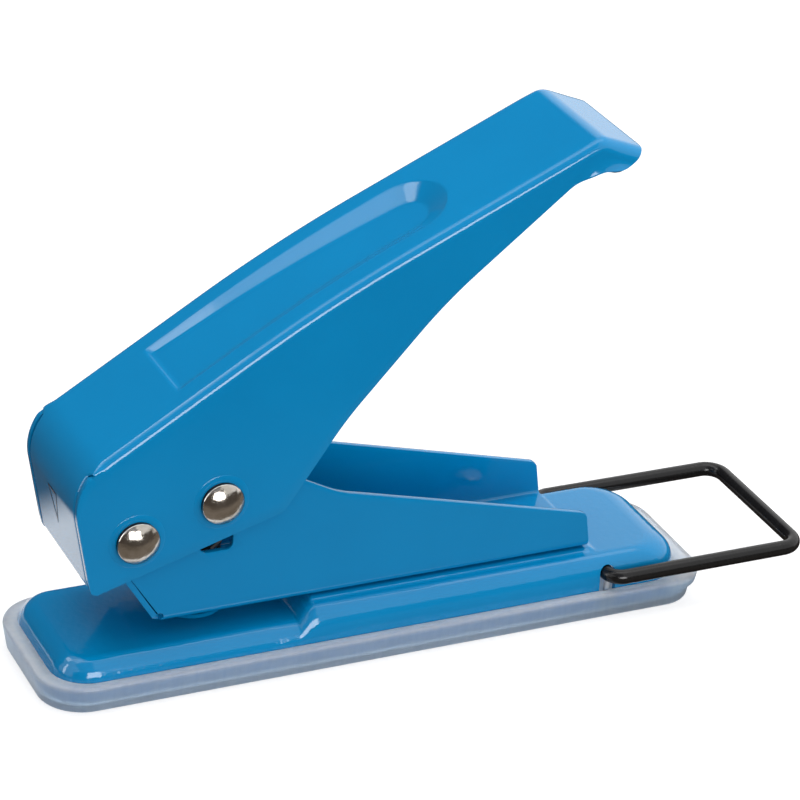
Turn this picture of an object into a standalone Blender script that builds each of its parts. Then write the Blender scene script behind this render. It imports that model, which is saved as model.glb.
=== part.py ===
# Single hole punch: a pressed steel lever punch that stands in a moulded chip tray.
# The punch axis is the Z axis, the standing plane is z = 0, and the nose points to -X.
import math

import bmesh
import bpy
import numpy as np

# Clearances
RUN_GAP = 0.0003            # between pieces that touch or slide
OVERRUN = 0.0040            # how far a cutter passes through
ROUND_STEPS = 32            # facets round a turned piece
CORNER_STEPS = 6            # facets round a drawn corner
BEND_STEPS = 4              # facets round a sheet bend
DOME_STEPS = 5              # facets from the crown of a dome to its rim
MERGE = 0.000001            # points closer than this are one point
TURN_MERGE = 0.00001        # the same where a turned piece closes
SHARP_ANGLE = math.radians(32)       # edges that turn more than this stay sharp
TANGENT_SHARE = 0.002       # of a path's length, to either side, that gives its direction

# Sheet metal that the handle, frame and base are pressed from
SHEET = 0.0009

# Chip tray
TRAY_FRONT_RIM = 0.0024     # width of the rim before the base
TRAY_REAR_RIM = 0.0027      # width of the rim behind it, the pull lip
TRAY_SIDE_RIM = 0.0016
TRAY_HEIGHT = 0.0047
TRAY_DRAFT = 0.0006
TRAY_FLOOR = 0.0010
TRAY_WALL = 0.0011
TRAY_BEAD_DEPTH = 0.0013    # of the bead that closes on the base
TRAY_EDGE = 0.0004          # rounding of the rim and of the foot
TRAY_FRONT_CORNER = 0.0080
TRAY_REAR_CORNER = 0.0035
TRAY_POST_WIDTH = 0.0016
TRAY_POST_DEPTH = 0.0020

# Base pan
BASE_SIDE_GAP = 0.0003      # to the bead of the tray
BASE_FRONT = 0.0258
BASE_REAR = 0.0846
BASE_SHOULDER = 0.0033      # base beside the frame
BASE_CORNER = 0.0060
BASE_EDGE = 0.0030          # radius round its top
BASE_FRONT_RISE = 0.0068    # top of the punching table above the tray floor
BASE_REAR_RISE = 0.0093     # top behind the paper stop
STOP_FOOT = 0.0140          # foot of the ramp that stops the paper
STOP_RUN = 0.0024
LAND_RISE = 0.0005          # raised seat of the frame
LAND_SLOPE = 0.0008
LAND_INSET = 0.0005         # from the frame's sides

# Frame, a channel with two ears
FRAME_HALF_WIDTH = 0.0097
FRAME_BEND = 0.0015
FRAME_FRONT = 0.0096        # front of the ears at their foot, ahead of the punch axis
FRAME_REAR_INSET = 0.0179   # rear of the ears, ahead of the base's rear
FOOT_RISE = 0.0027          # upright start of the ears' front edge
REAR_RISE = 0.0067          # ears at the rear, above the web's underside
REAR_LEAN = 0.0008
REAR_ROUND = 0.0015
HUMP_RISE = 0.0107          # top of the ears over the pivot
HUMP_FRONT = 0.0068         # front and rear ends of that top
HUMP_REAR = 0.0036
HUMP_ROUND = 0.0040
WAIST_REACH = 0.0210        # where the ears' top edge eases into its long slope
WAIST_RISE = 0.0015
WAIST_ROUND = 0.0200
EAR_ROUND = 0.0045          # round the pivot
FRONT_SLANT = math.radians(122.3)    # of the ears' front edge and of the tongue
TOP_SLANT = math.radians(35.0)       # of the ears' edge above the pivot
FLANGE_LENGTH = 0.0066      # tongue bent up before the ears
FLANGE_GAP = 0.0007
FLANGE_INSET = 0.0015       # from the frame's sides
SLOT_HALF_WIDTH = 0.0028    # slot in the ears for the drive rivet
SLOT_OFFSET = 0.0003
SLOT_END_GAP = 0.0006
SLOT_ROUND = 0.0012

# Pivot and drive rivets
PIVOT_AHEAD = 0.0137        # pivot ahead of the punch axis
PIVOT_HEIGHT = 0.0279
DRIVE_RISE = 0.00456        # drive rivet above the pivot, handle open
SHANK_RADIUS = 0.0020
HEAD_RADIUS = 0.0034
HEAD_HEIGHT = 0.0010
WASHER_RADIUS = 0.0037
WASHER_THICKNESS = 0.0003
WASHER_GAP = 0.00015
SLEEVE_WALL = 0.0006

# Handle, in its own frame: x along the top, z square to it, origin at the pivot
HANDLE_TILT = math.radians(29.5)     # of the top when open
HANDLE_TRAVEL = math.radians(29.5)
HANDLE_SIDE_GAP = 0.0011             # between its walls and the ears
HANDLE_BEND = 0.0015
HANDLE_LENGTH = 0.0990               # pivot to the end of the lip
HANDLE_HEIGHT = 0.0169               # pivot to the crown, before it is rounded
NOSE_ROUND = 0.0095
CROWN_ROUND = 0.2500
LIP_ROUND = 0.0030
LIP_CORNER = 0.0045
LIP_RUN = 0.0080                     # how much of the lip gives way to its corners
FLAP_LENGTH = 0.0180                 # foot of the flap to the seam, where the walls join the top
FLAP_GAP = 0.0003                    # between the flap and the walls
NOSE_FOOT = 0.0012                   # where a wall's front edge leaves the line of the flap
NOSE_PROUD = 0.00025                 # how far that edge stands before the flap
NOSE_BLEND = 0.0040                  # how it eases in below the seam
FLARE = 0.0011                       # how far the walls spread at the lip
FLARE_LENGTH = 0.0110
RECESS_START = 0.0176                # along the top, from the pivot
RECESS_END = 0.0702
RECESS_HALF_WIDTH = 0.0074
RECESS_FRONT_DEPTH = 0.0006
RECESS_REAR_DEPTH = 0.0017
RECESS_STEP = 0.0009                 # run of the step round the recess
RECESS_END_STEP = 0.0030             # run of the step at the round end
ROW_PITCH = 0.0034
FINE_PITCH = 0.0014

# Shares of the handle's length and height: flap foot, nose, crown, lip bend, lip end
TOP_SHARES = ((-0.1020, -0.1538), (-0.0401, 0.8817), (0.4442, 1.0), (0.9475, 0.7811),
              (1.0, 0.4142))
# Foot of a wall, from the corner under the nose to the lip
FOOT_SHARES = ((-0.1056, -0.2426), (0.2192, -0.6598), (0.3768, -0.1923), (0.6061, 0.2751),
               (0.8737, 0.5533), (0.9636, 0.4675))
FOOT_ROUND_SHARES = (0.010, 0.015, 0.60, 0.80, 0.080)
KNEE_SHARE = 0.80                    # of the length, past which the foot draws back to the lip
# Columns across the recess and half of the top
COLUMN_SHARES = (0.0, 0.25, 0.5, 0.7)
# Rows of points up a wall, from its free edge towards the bend
WALL_SHARES = (1.0, 0.72, 0.45, 0.2)
FLAP_ROWS = 9
NOSE_ROWS = 9
FOOT_STEPS = 4

# Punch, its guide and the die
PUNCH_RADIUS = 0.0030
PUNCH_TIP_RISE = 0.0005     # tip above the web's underside when open
PUNCH_HEAD_RADIUS = 0.0042
PUNCH_HEAD_HEIGHT = 0.0012
PUNCH_CHAMFER = 0.0004
GUIDE_RADIUS = 0.0048
GUIDE_FLANGE_RADIUS = 0.0065
GUIDE_FLANGE = 0.0010
GUIDE_SPIGOT_WALL = 0.0006
GUIDE_SPIGOT = 0.0014
DIE_RADIUS = 0.0044
DIE_FLANGE_RADIUS = 0.0054
DIE_FLANGE = 0.0004
DIE_DEPTH = 0.0030
DIE_BORE_GAP = 0.0002

# Return spring
WIRE_RADIUS = 0.0004
SPRING_CURLS = 6
CURL_POINTS = 10
SPRING_SIDES = 1            # steps in each quarter of the wire's round
SPRING_WASHER_RADIUS = 0.0052
SPRING_WASHER_THICKNESS = 0.0008

# Rivets that hold the frame on the base
FRAME_RIVET_INSET = 0.0100  # from the ends of the raised seat
FRAME_RIVET_SHANK = 0.0014
FRAME_RIVET_HEAD = 0.0026
FRAME_RIVET_RISE = 0.0009

# Wire bail that locks the handle down
BAIL_RADIUS = 0.00125
BAIL_INSET = 0.0154         # pivot ahead of the base's rear
BAIL_REACH = 0.0358
BAIL_BEND = 0.0038
BAIL_END_DEPTH = 0.0022     # of its ends inside the base wall
BAIL_SLOT_GAP = 0.0005
BAIL_HEIGHT_GAP = 0.00145   # wire above the tray's rim
BAIL_POINTS = 5
BAIL_SIDES = 4

# Levels and places that follow from the sizes above
BASE_HALF_WIDTH = FRAME_HALF_WIDTH + BASE_SHOULDER
LAND_HALF_WIDTH = FRAME_HALF_WIDTH - LAND_INSET
HANDLE_HALF_WIDTH = FRAME_HALF_WIDTH + HANDLE_SIDE_GAP + SHEET
TRAY_HALF_WIDTH = BASE_HALF_WIDTH + BASE_SIDE_GAP + TRAY_SIDE_RIM
TRAY_FRONT = BASE_FRONT + BASE_SIDE_GAP + TRAY_FRONT_RIM
TRAY_REAR = BASE_REAR + BASE_SIDE_GAP + TRAY_REAR_RIM
FRAME_REAR = BASE_REAR - FRAME_REAR_INSET
LAND_FRONT = STOP_FOOT + STOP_RUN + LAND_SLOPE
LAND_REAR = FRAME_REAR + LAND_SLOPE
FRAME_RIVET_PLACES = (LAND_FRONT + FRAME_RIVET_INSET, LAND_REAR - FRAME_RIVET_INSET)
BAIL_PIVOT = BASE_REAR - BAIL_INSET
BASE_FOOT = TRAY_FLOOR + RUN_GAP
TABLE_TOP = TRAY_FLOOR + BASE_FRONT_RISE
BASE_TOP = TRAY_FLOOR + BASE_REAR_RISE
WEB_BOTTOM = BASE_TOP + LAND_RISE + RUN_GAP
WEB_TOP = WEB_BOTTOM + SHEET
PIVOT = (-PIVOT_AHEAD, 0.0, PIVOT_HEIGHT)
DRIVE_ARM = math.hypot(PIVOT_AHEAD, DRIVE_RISE)
DRIVE_ANGLE = math.atan2(DRIVE_RISE, PIVOT_AHEAD)
DRIVE_TOP = PIVOT_HEIGHT + DRIVE_RISE
DRIVE_BOTTOM = PIVOT_HEIGHT + DRIVE_ARM * math.sin(DRIVE_ANGLE - HANDLE_TRAVEL)
SLEEVE_RADIUS = SHANK_RADIUS + RUN_GAP + SLEEVE_WALL
EAR_INSIDE = FRAME_HALF_WIDTH - SHEET
PUNCH_TOP = DRIVE_TOP - SLEEVE_RADIUS - RUN_GAP
GUIDE_SEAT = WEB_TOP + RUN_GAP
BAIL_HEIGHT = TRAY_HEIGHT + BAIL_HEIGHT_GAP + BAIL_RADIUS
BAIL_HALF_WIDTH = BASE_HALF_WIDTH + RUN_GAP + BAIL_RADIUS
UPRIGHT = (0.0, 0.0, 0.0)
ALONG_Y = (-math.pi / 2, 0.0, 0.0)


# Scene and helpers
def clear_scene():
    for item in list(bpy.data.objects):
        bpy.data.objects.remove(item, do_unlink=True)


def new_collection(name):
    group = bpy.data.collections.new(name)
    bpy.context.scene.collection.children.link(group)
    return group


def painted(name, colour, roughness, metallic=0.0, coat=0.0, transmission=0.0):
    material = bpy.data.materials.new(name)
    material.use_nodes = True
    shader = material.node_tree.nodes["Principled BSDF"]
    shader.inputs["Base Color"].default_value = (*colour, 1.0)
    shader.inputs["Roughness"].default_value = roughness
    shader.inputs["Metallic"].default_value = metallic
    shader.inputs["Coat Weight"].default_value = coat
    shader.inputs["Transmission Weight"].default_value = transmission
    return material


clear_scene()
PARTS = new_collection("single_hole_punch")
CUTTERS = new_collection("cutters")
BLUE_PAINT = painted("blue_paint", (0.006, 0.205, 0.480), 0.28, coat=0.5)
NICKEL = painted("nickel", (0.62, 0.60, 0.56), 0.18, metallic=1.0)
HARD_STEEL = painted("hard_steel", (0.45, 0.45, 0.46), 0.30, metallic=1.0)
SPRING_STEEL = painted("spring_steel", (0.35, 0.35, 0.37), 0.35, metallic=1.0)
BLACK_WIRE = painted("black_wire", (0.012, 0.012, 0.013), 0.42)
CLEAR_PLASTIC = painted("clear_plastic", (0.62, 0.68, 0.74), 0.30, transmission=0.5)


def add_object(name, data, material=None, location=(0.0, 0.0, 0.0), rotation=UPRIGHT):
    item = bpy.data.objects.new(name, data)
    item.location = location
    item.rotation_euler = rotation
    if material is None:
        CUTTERS.objects.link(item)
        item.hide_render = True
        item.display_type = "WIRE"
    else:
        PARTS.objects.link(item)
        data.materials.append(material)
    return item


def mesh_from(name, points, faces):
    mesh = bpy.data.meshes.new(name)
    mesh.from_pydata([tuple(float(v) for v in p) for p in points], [], faces)
    mesh.validate()
    mesh.shade_smooth()
    mesh.set_sharp_from_angle(angle=SHARP_ANGLE)
    return mesh


def solidify(item, thickness=SHEET):
    wall = item.modifiers.new("wall", "SOLIDIFY")
    wall.thickness = thickness
    wall.offset = -1.0
    wall.use_even_offset = True
    return wall


def boolean(item, tool, operation="DIFFERENCE"):
    step = item.modifiers.new(tool.name, "BOOLEAN")
    step.operation = operation
    step.solver = "EXACT"
    step.object = tool


def cylinder_tool(name, radius, half_length, location, rotation=UPRIGHT):
    mesh = bpy.data.meshes.new(name)
    shape = bmesh.new()
    bmesh.ops.create_cone(shape, cap_ends=True, segments=ROUND_STEPS, radius1=radius,
                          radius2=radius, depth=2 * half_length)
    shape.to_mesh(mesh)
    shape.free()
    return add_object(name, mesh, None, location, rotation)


def box_tool(name, low, high):
    mesh = bpy.data.meshes.new(name)
    shape = bmesh.new()
    bmesh.ops.create_cube(shape, size=1.0)
    size = [b - a for a, b in zip(low, high)]
    middle = [(a + b) / 2 for a, b in zip(low, high)]
    bmesh.ops.scale(shape, vec=size, verts=shape.verts)
    bmesh.ops.translate(shape, vec=middle, verts=shape.verts)
    shape.to_mesh(mesh)
    shape.free()
    return add_object(name, mesh)


def turned(name, profile, material, location, rotation=UPRIGHT, closed=False):
    """Turn a profile of (radius, height), which runs down its outer side."""
    count = len(profile)
    edges = [(i, i + 1) for i in range(count - 1)]
    if closed:
        edges.append((count - 1, 0))
    mesh = bpy.data.meshes.new(name)
    mesh.from_pydata([(r, 0.0, z) for r, z in profile], edges, [])
    item = add_object(name, mesh, material, location, rotation)
    screw = item.modifiers.new("turn", "SCREW")
    screw.angle = 2 * math.pi
    screw.steps = ROUND_STEPS
    screw.render_steps = ROUND_STEPS
    screw.use_merge_vertices = True
    screw.merge_threshold = TURN_MERGE
    screw.use_smooth_shade = True
    return item


def ring_profile(inner, outer, bottom, top):
    return [(outer, top), (outer, bottom), (inner, bottom), (inner, top)]


def dome_profile(radius, height, base, steps=DOME_STEPS):
    """Points of a shallow dome from its crown down to its rim."""
    angles = [math.pi / 2 * i / steps for i in range(steps + 1)]
    return [(radius * math.sin(a), base + height * math.cos(a)) for a in angles]


def round_corners(corners, rounds, steps=CORNER_STEPS):
    """Walk a line of corners and turn each one between the ends by its own radius."""
    corners = [np.array(c, float) for c in corners]
    path = [corners[0]]
    for before, corner, after, radius in zip(corners, corners[1:], corners[2:], rounds):
        into = (corner - before) / np.linalg.norm(corner - before)
        out = (after - corner) / np.linalg.norm(after - corner)
        turn = math.acos(max(-1.0, min(1.0, float(into @ out))))
        setback = radius * math.tan(turn / 2)
        side = np.array([-into[1], into[0]])
        side *= math.copysign(1.0, float(side @ out))
        centre = corner - into * setback + side * radius
        for k in range(steps + 1):
            angle = turn * k / steps
            path.append(centre + radius * (into * math.sin(angle) - side * math.cos(angle)))
    path.append(corners[-1])
    return np.array(path)


def path_lengths(path):
    return np.concatenate([[0.0], np.cumsum(np.linalg.norm(np.diff(path, axis=0), axis=1))])


def along(path, places):
    lengths = path_lengths(path)
    return np.stack([np.interp(places, lengths, path[:, k]) for k in range(2)], axis=-1)


def corner_about(centre, radius, into, out):
    """Corner of two lines that both touch a circle, by their angles of travel."""
    first = np.array([-math.sin(into), math.cos(into)])
    second = np.array([-math.sin(out), math.cos(out)])
    return np.array(centre) + radius * (first + second) / (1 + float(first @ second))


def plate(name, outline, half_width):
    """Side outline (x, z) carried across from one side to the other."""
    count = len(outline)
    points = [(x, side * half_width, z) for side in (-1, 1) for x, z in outline]
    faces = [list(range(count)), list(range(2 * count - 1, count - 1, -1))]
    faces += [[(i + 1) % count, i, count + i, count + (i + 1) % count] for i in range(count)]
    mesh = bpy.data.meshes.new(name)
    mesh.from_pydata([tuple(float(v) for v in p) for p in points], [], faces)
    shape = bmesh.new()
    shape.from_mesh(mesh)
    bmesh.ops.recalc_face_normals(shape, faces=shape.faces)
    shape.to_mesh(mesh)
    shape.free()
    return add_object(name, mesh)


# Pans: rows across a rounded rectangle, with rings of the same rows round it
def half_outline(front, rear, half_width, front_corner, rear_corner, stations):
    """Places x and half widths from the front edge round one side to the rear edge."""
    turn = np.linspace(0.0, math.pi / 2, CORNER_STEPS + 1)
    xs = [-front + front_corner * (1 - np.cos(turn)), np.array(stations),
          rear - rear_corner * (1 - np.sin(turn))]
    widths = [half_width - front_corner * (1 - np.sin(turn)),
              np.full(len(stations), half_width),
              half_width - rear_corner * (1 - np.cos(turn))]
    return np.concatenate(xs), np.concatenate(widths)


def sheet_points(outline, shares, height):
    xs, widths = outline
    grid_x = np.repeat(xs[:, None], len(shares), axis=1)
    grid_y = widths[:, None] * np.array(shares)[None, :]
    return np.stack([grid_x, grid_y, height(grid_x, grid_y)], axis=-1)


def rim_order(rows, columns):
    """Indices of the border of a grid, once round."""
    near = [(i, 0) for i in range(rows)]
    back = [(rows - 1, j) for j in range(1, columns)]
    far = [(i, columns - 1) for i in range(rows - 2, -1, -1)]
    front = [(0, j) for j in range(columns - 2, 0, -1)]
    return near + back + far + front


def pan_mesh(name, rings, shares, first_height, last_height=None):
    """Grid inside the first ring, walls from ring to ring and, if asked, a grid in the last."""
    points, faces = [], []
    rows = len(rings[0][0][0])
    columns = len(shares)
    border = rim_order(rows, columns)

    def add_grid(outline, height, flip):
        base = len(points)
        points.extend(sheet_points(outline, shares, height).reshape(-1, 3))
        for i in range(rows - 1):
            for j in range(columns - 1):
                a = base + i * columns + j
                face = [a, a + columns, a + columns + 1, a + 1]
                faces.append(face[::-1] if flip else face)
        return [base + i * columns + j for i, j in border]

    previous = add_grid(rings[0][0], first_height, False)
    for number, (outline, height) in enumerate(rings[1:], 1):
        if number == len(rings) - 1 and last_height is not None:
            current = add_grid(outline, last_height, True)
        else:
            grid = sheet_points(outline, shares, height)
            current = list(range(len(points), len(points) + len(border)))
            points.extend(grid[i, j] for i, j in border)
        for k in range(len(border)):
            n = (k + 1) % len(border)
            faces.append([previous[k], current[k], current[n], previous[n]])
        previous = current
    return mesh_from(name, points, faces)


def level(value):
    return lambda x, y: np.full_like(x, value)


def smooth_step(value):
    t = np.clip(value, 0.0, 1.0)
    return t * t * (3 - 2 * t)


# Base pan
RAMP_SHARES = (0.0, 0.2, 0.4, 0.6, 0.8, 1.0)
BASE_STATIONS = ([STOP_FOOT + STOP_RUN * share for share in RAMP_SHARES]
                 + [LAND_FRONT, LAND_REAR - LAND_SLOPE, LAND_REAR])


def base_outline(inset):
    corner = BASE_CORNER - inset
    return half_outline(BASE_FRONT - inset, BASE_REAR - inset, BASE_HALF_WIDTH - inset,
                        corner, corner, BASE_STATIONS)


def table_height(x, y):
    """Punching table, the ramp that stops the paper and the higher rear."""
    rise = BASE_TOP - TABLE_TOP
    return TABLE_TOP + rise * smooth_step((x - STOP_FOOT) / STOP_RUN)


def base_height(x, y):
    """The base's top with the raised seat of the frame."""
    start = LAND_FRONT - LAND_SLOPE
    lengthwise = np.minimum((x - start) / LAND_SLOPE, (LAND_REAR - x) / LAND_SLOPE)
    across = (LAND_HALF_WIDTH + LAND_SLOPE - np.abs(y)) / LAND_SLOPE
    return table_height(x, y) + LAND_RISE * np.clip(np.minimum(lengthwise, across), 0.0, 1.0)


def make_base_pan():
    inner = BASE_HALF_WIDTH - BASE_EDGE
    steps = [width / inner for width in (LAND_HALF_WIDTH, LAND_HALF_WIDTH + LAND_SLOPE)
             if width < inner - MERGE]
    shares = [-1.0] + [-step for step in reversed(steps)] + steps + [1.0]
    rings = [(base_outline(BASE_EDGE), base_height)]
    for k in range(1, BEND_STEPS + 1):
        angle = math.pi / 2 * (1 - k / BEND_STEPS)
        inset = BASE_EDGE * (1 - math.cos(angle))
        drop = BASE_EDGE * (1 - math.sin(angle))
        rings.append((base_outline(inset), lambda x, y, d=drop: table_height(x, y) - d))
    rings.append((base_outline(0.0), level(BASE_FOOT)))
    mesh = pan_mesh("base_pan", rings, shares, base_height)
    base = add_object("base_pan", mesh, BLUE_PAINT)
    solidify(base)
    die = cylinder_tool("die_hole", DIE_RADIUS + RUN_GAP, OVERRUN, (0.0, 0.0, TABLE_TOP))
    boolean(base, die)
    for number, place in enumerate(FRAME_RIVET_PLACES):
        hole = cylinder_tool(f"base_rivet_hole_{number}", FRAME_RIVET_SHANK + RUN_GAP, OVERRUN,
                             (place, 0.0, BASE_TOP))
        boolean(base, hole)
    boolean(base, bail_slot_tool())


def bail_slot_tool():
    """Round topped slots through both side walls, open downwards."""
    radius = BAIL_RADIUS + BAIL_SLOT_GAP
    turn = np.linspace(0.0, math.pi, 2 * CORNER_STEPS + 1)
    arch = [(BAIL_PIVOT + radius * math.cos(a), BAIL_HEIGHT + radius * math.sin(a)) for a in turn]
    outline = arch + [(BAIL_PIVOT - radius, -OVERRUN), (BAIL_PIVOT + radius, -OVERRUN)]
    return plate("bail_slots", outline, BASE_HALF_WIDTH + OVERRUN)


# Chip tray
def tray_outline(inset):
    return half_outline(TRAY_FRONT - inset, TRAY_REAR - inset, TRAY_HALF_WIDTH - inset,
                        TRAY_FRONT_CORNER - inset, TRAY_REAR_CORNER - inset, BASE_STATIONS)


def bead_outline():
    """Mouth of the tray, which follows the base's skirt."""
    return base_outline(-BASE_SIDE_GAP)


def make_chip_tray():
    inside = TRAY_WALL + TRAY_DRAFT / 2
    bead = TRAY_HEIGHT - TRAY_BEAD_DEPTH
    rings = [
        (tray_outline(inside + TRAY_EDGE), level(TRAY_FLOOR)),
        (tray_outline(inside), level(TRAY_FLOOR + TRAY_EDGE)),
        (tray_outline(TRAY_WALL), level(bead)),
        (bead_outline(), level(bead + TRAY_EDGE)),
        (bead_outline(), level(TRAY_HEIGHT)),
        (tray_outline(TRAY_EDGE), level(TRAY_HEIGHT)),
        (tray_outline(0.0), level(TRAY_HEIGHT - TRAY_EDGE)),
        (tray_outline(TRAY_DRAFT), level(TRAY_EDGE)),
        (tray_outline(TRAY_DRAFT + TRAY_EDGE), level(0.0)),
    ]
    mesh = pan_mesh("chip_tray", rings, (-1.0, 1.0), level(TRAY_FLOOR), level(0.0))
    tray = add_object("chip_tray", mesh, CLEAR_PLASTIC)
    top = BAIL_HEIGHT - BAIL_RADIUS - RUN_GAP
    for side, label in ((-1, "near"), (1, "far")):
        wall = side * (TRAY_HALF_WIDTH - TRAY_WALL / 2)
        inner = wall - side * TRAY_POST_DEPTH
        post = box_tool(f"post_{label}",
                        (BAIL_PIVOT - TRAY_POST_WIDTH / 2, min(wall, inner), TRAY_FLOOR / 2),
                        (BAIL_PIVOT + TRAY_POST_WIDTH / 2, max(wall, inner), top))
        boolean(tray, post, "UNION")


# Frame
def ear_outline():
    pivot = (PIVOT[0], PIVOT[2])
    hump = PIVOT_HEIGHT + HUMP_RISE
    corners = [
        (-FRAME_FRONT, WEB_BOTTOM - OVERRUN),
        (-FRAME_FRONT, WEB_BOTTOM + FOOT_RISE),
        corner_about(pivot, EAR_ROUND, FRONT_SLANT, TOP_SLANT),
        (-HUMP_FRONT, hump),
        (HUMP_REAR, hump),
        (WAIST_REACH, PIVOT_HEIGHT + WAIST_RISE),
        (FRAME_REAR - REAR_LEAN, WEB_BOTTOM + REAR_RISE),
        (FRAME_REAR, WEB_BOTTOM),
        (FRAME_REAR, WEB_BOTTOM - OVERRUN),
    ]
    rounds = (SHEET, EAR_ROUND, HUMP_ROUND, HUMP_ROUND, WAIST_ROUND, REAR_ROUND, REAR_ROUND)
    return round_corners(corners, rounds)


def channel_mesh():
    """A U of sheet carried along the whole frame."""
    top = PIVOT_HEIGHT + HUMP_RISE + OVERRUN
    turn = np.linspace(0.0, math.pi / 2, BEND_STEPS + 1)
    wall = FRAME_HALF_WIDTH - FRAME_BEND
    bend = [(-wall - FRAME_BEND * math.cos(a), WEB_BOTTOM + FRAME_BEND * (1 - math.sin(a)))
            for a in turn]
    half = [(-FRAME_HALF_WIDTH, top)] + bend
    section = half + [(-y, z) for y, z in reversed(half)]
    ends = (-PIVOT_AHEAD - OVERRUN - EAR_ROUND, FRAME_REAR + OVERRUN)
    points = [(x, y, z) for x in ends for y, z in section]
    count = len(section)
    faces = [[i, i + 1, count + i + 1, count + i] for i in range(count - 1)]
    return mesh_from("frame_channel", points, faces)


def flange_mesh():
    """Tongue of the web that is bent up before the ears."""
    half_width = FRAME_HALF_WIDTH - FLANGE_INSET
    corner_x = -FRAME_FRONT - FLANGE_GAP
    tip = (corner_x + FLANGE_LENGTH * math.cos(FRONT_SLANT),
           WEB_BOTTOM + FLANGE_LENGTH * math.sin(FRONT_SLANT) + SHEET)
    corners = [(0.0, WEB_BOTTOM), (corner_x, WEB_BOTTOM), tip]
    path = round_corners(corners, (FRAME_BEND,), BEND_STEPS)
    count = len(path)
    points = [(x, y, z) for y in (-half_width, half_width) for x, z in path]
    faces = [[i, i + 1, count + i + 1, count + i] for i in range(count - 1)]
    return mesh_from("flange", points, faces)


def make_frame():
    frame = add_object("frame_channel", channel_mesh(), BLUE_PAINT)
    solidify(frame)
    boolean(frame, plate("ear_shape", ear_outline(), FRAME_HALF_WIDTH + OVERRUN), "INTERSECT")
    flange = add_object("front_flange", flange_mesh())
    solidify(flange)
    boolean(frame, flange, "UNION")
    reach = FRAME_HALF_WIDTH + OVERRUN
    boolean(frame, cylinder_tool("ear_pivot_holes", SHANK_RADIUS + RUN_GAP, reach, PIVOT, ALONG_Y))
    bottom = DRIVE_BOTTOM - SHANK_RADIUS - SLOT_END_GAP
    top = DRIVE_TOP + SHANK_RADIUS + SLOT_END_GAP
    left, right = SLOT_OFFSET - SLOT_HALF_WIDTH, SLOT_OFFSET + SLOT_HALF_WIDTH
    corners = [(0.0, bottom), (right, bottom), (right, top), (left, top), (left, bottom),
               (0.0, bottom)]
    slot = round_corners(corners, (SLOT_ROUND,) * 4)[:-1]
    boolean(frame, plate("ear_slots", slot, reach))
    boolean(frame, cylinder_tool("guide_hole", GUIDE_RADIUS + RUN_GAP, OVERRUN,
                                 (0.0, 0.0, WEB_BOTTOM)))
    for number, place in enumerate(FRAME_RIVET_PLACES):
        boolean(frame, cylinder_tool(f"web_rivet_hole_{number}", FRAME_RIVET_SHANK + RUN_GAP,
                                     OVERRUN, (place, 0.0, WEB_BOTTOM)))


def make_frame_rivets():
    """Flat domed rivets through the web and the base's raised seat."""
    for place, name in zip(FRAME_RIVET_PLACES, ("frame_rivet_front", "frame_rivet_rear")):
        top = WEB_TOP + RUN_GAP
        bottom = BASE_TOP + LAND_RISE - SHEET - RUN_GAP
        upper = dome_profile(FRAME_RIVET_HEAD, FRAME_RIVET_RISE, top)
        lower = [(r, 2 * bottom - z) for r, z in
                 reversed(dome_profile(FRAME_RIVET_HEAD, FRAME_RIVET_RISE, bottom))]
        profile = upper + [(FRAME_RIVET_SHANK, top), (FRAME_RIVET_SHANK, bottom)] + lower
        turned(name, profile, NICKEL, (place, 0.0, 0.0))


# Handle
def handle_top():
    corners = [(x * HANDLE_LENGTH, z * HANDLE_HEIGHT) for x, z in TOP_SHARES]
    return round_corners(corners, (NOSE_ROUND, CROWN_ROUND, LIP_ROUND))


def path_frame(path, places):
    """Points of a path with its outward normals."""
    step = path_lengths(path)[-1] * TANGENT_SHARE
    point = along(path, places)
    ahead = along(path, places + step) - along(path, places - step)
    tangent = ahead / np.linalg.norm(ahead, axis=-1, keepdims=True)
    return point, np.stack([-tangent[..., 1], tangent[..., 0]], axis=-1)


def recess_depth(x, y):
    """Depth of the thumb recess: a step all round, deeper towards its round end."""
    centre = RECESS_END - RECESS_HALF_WIDTH
    straight = np.minimum(RECESS_HALF_WIDTH - np.abs(y), x - RECESS_START)
    rounded = RECESS_HALF_WIDTH - np.hypot(y, np.maximum(x - centre, 0.0))
    inside = np.where(x > centre, rounded, straight)
    share = (x - RECESS_START) / (RECESS_END - RECESS_START)
    depth = RECESS_FRONT_DEPTH + (RECESS_REAR_DEPTH - RECESS_FRONT_DEPTH) * np.clip(share, 0, 1)
    run = np.where(x > centre, RECESS_END_STEP, RECESS_STEP)
    return depth * smooth_step(inside / run)


def bend_line(top_path, places):
    """Inner end of the bend that joins the top to a wall."""
    point, normal = path_frame(top_path, places)
    return point - HANDLE_BEND * normal


def nose_edge(top_path):
    """Free front edge of a wall, up the nose to the seam, just proud of the flap."""
    places = np.linspace(NOSE_FOOT, FLAP_LENGTH, NOSE_ROWS)
    point, normal = path_frame(top_path, places)
    rise = smooth_step((FLAP_LENGTH - places) / NOSE_BLEND)[:, None]
    return point + normal * (NOSE_PROUD * rise - HANDLE_BEND * (1 - rise))


def wall_outline(top_path):
    """The front edge from its foremost point, and the foot from there to the lip."""
    nose = nose_edge(top_path)
    corners = [nose[0]] + [(x * HANDLE_LENGTH, z * HANDLE_HEIGHT) for x, z in FOOT_SHARES]
    foot = round_corners(corners, [r * HANDLE_LENGTH for r in FOOT_ROUND_SHARES], FOOT_STEPS)
    foremost = int(np.argmin(foot[:, 0]))
    return np.concatenate([foot[foremost:0:-1], nose]), foot[foremost + 1:]


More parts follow.
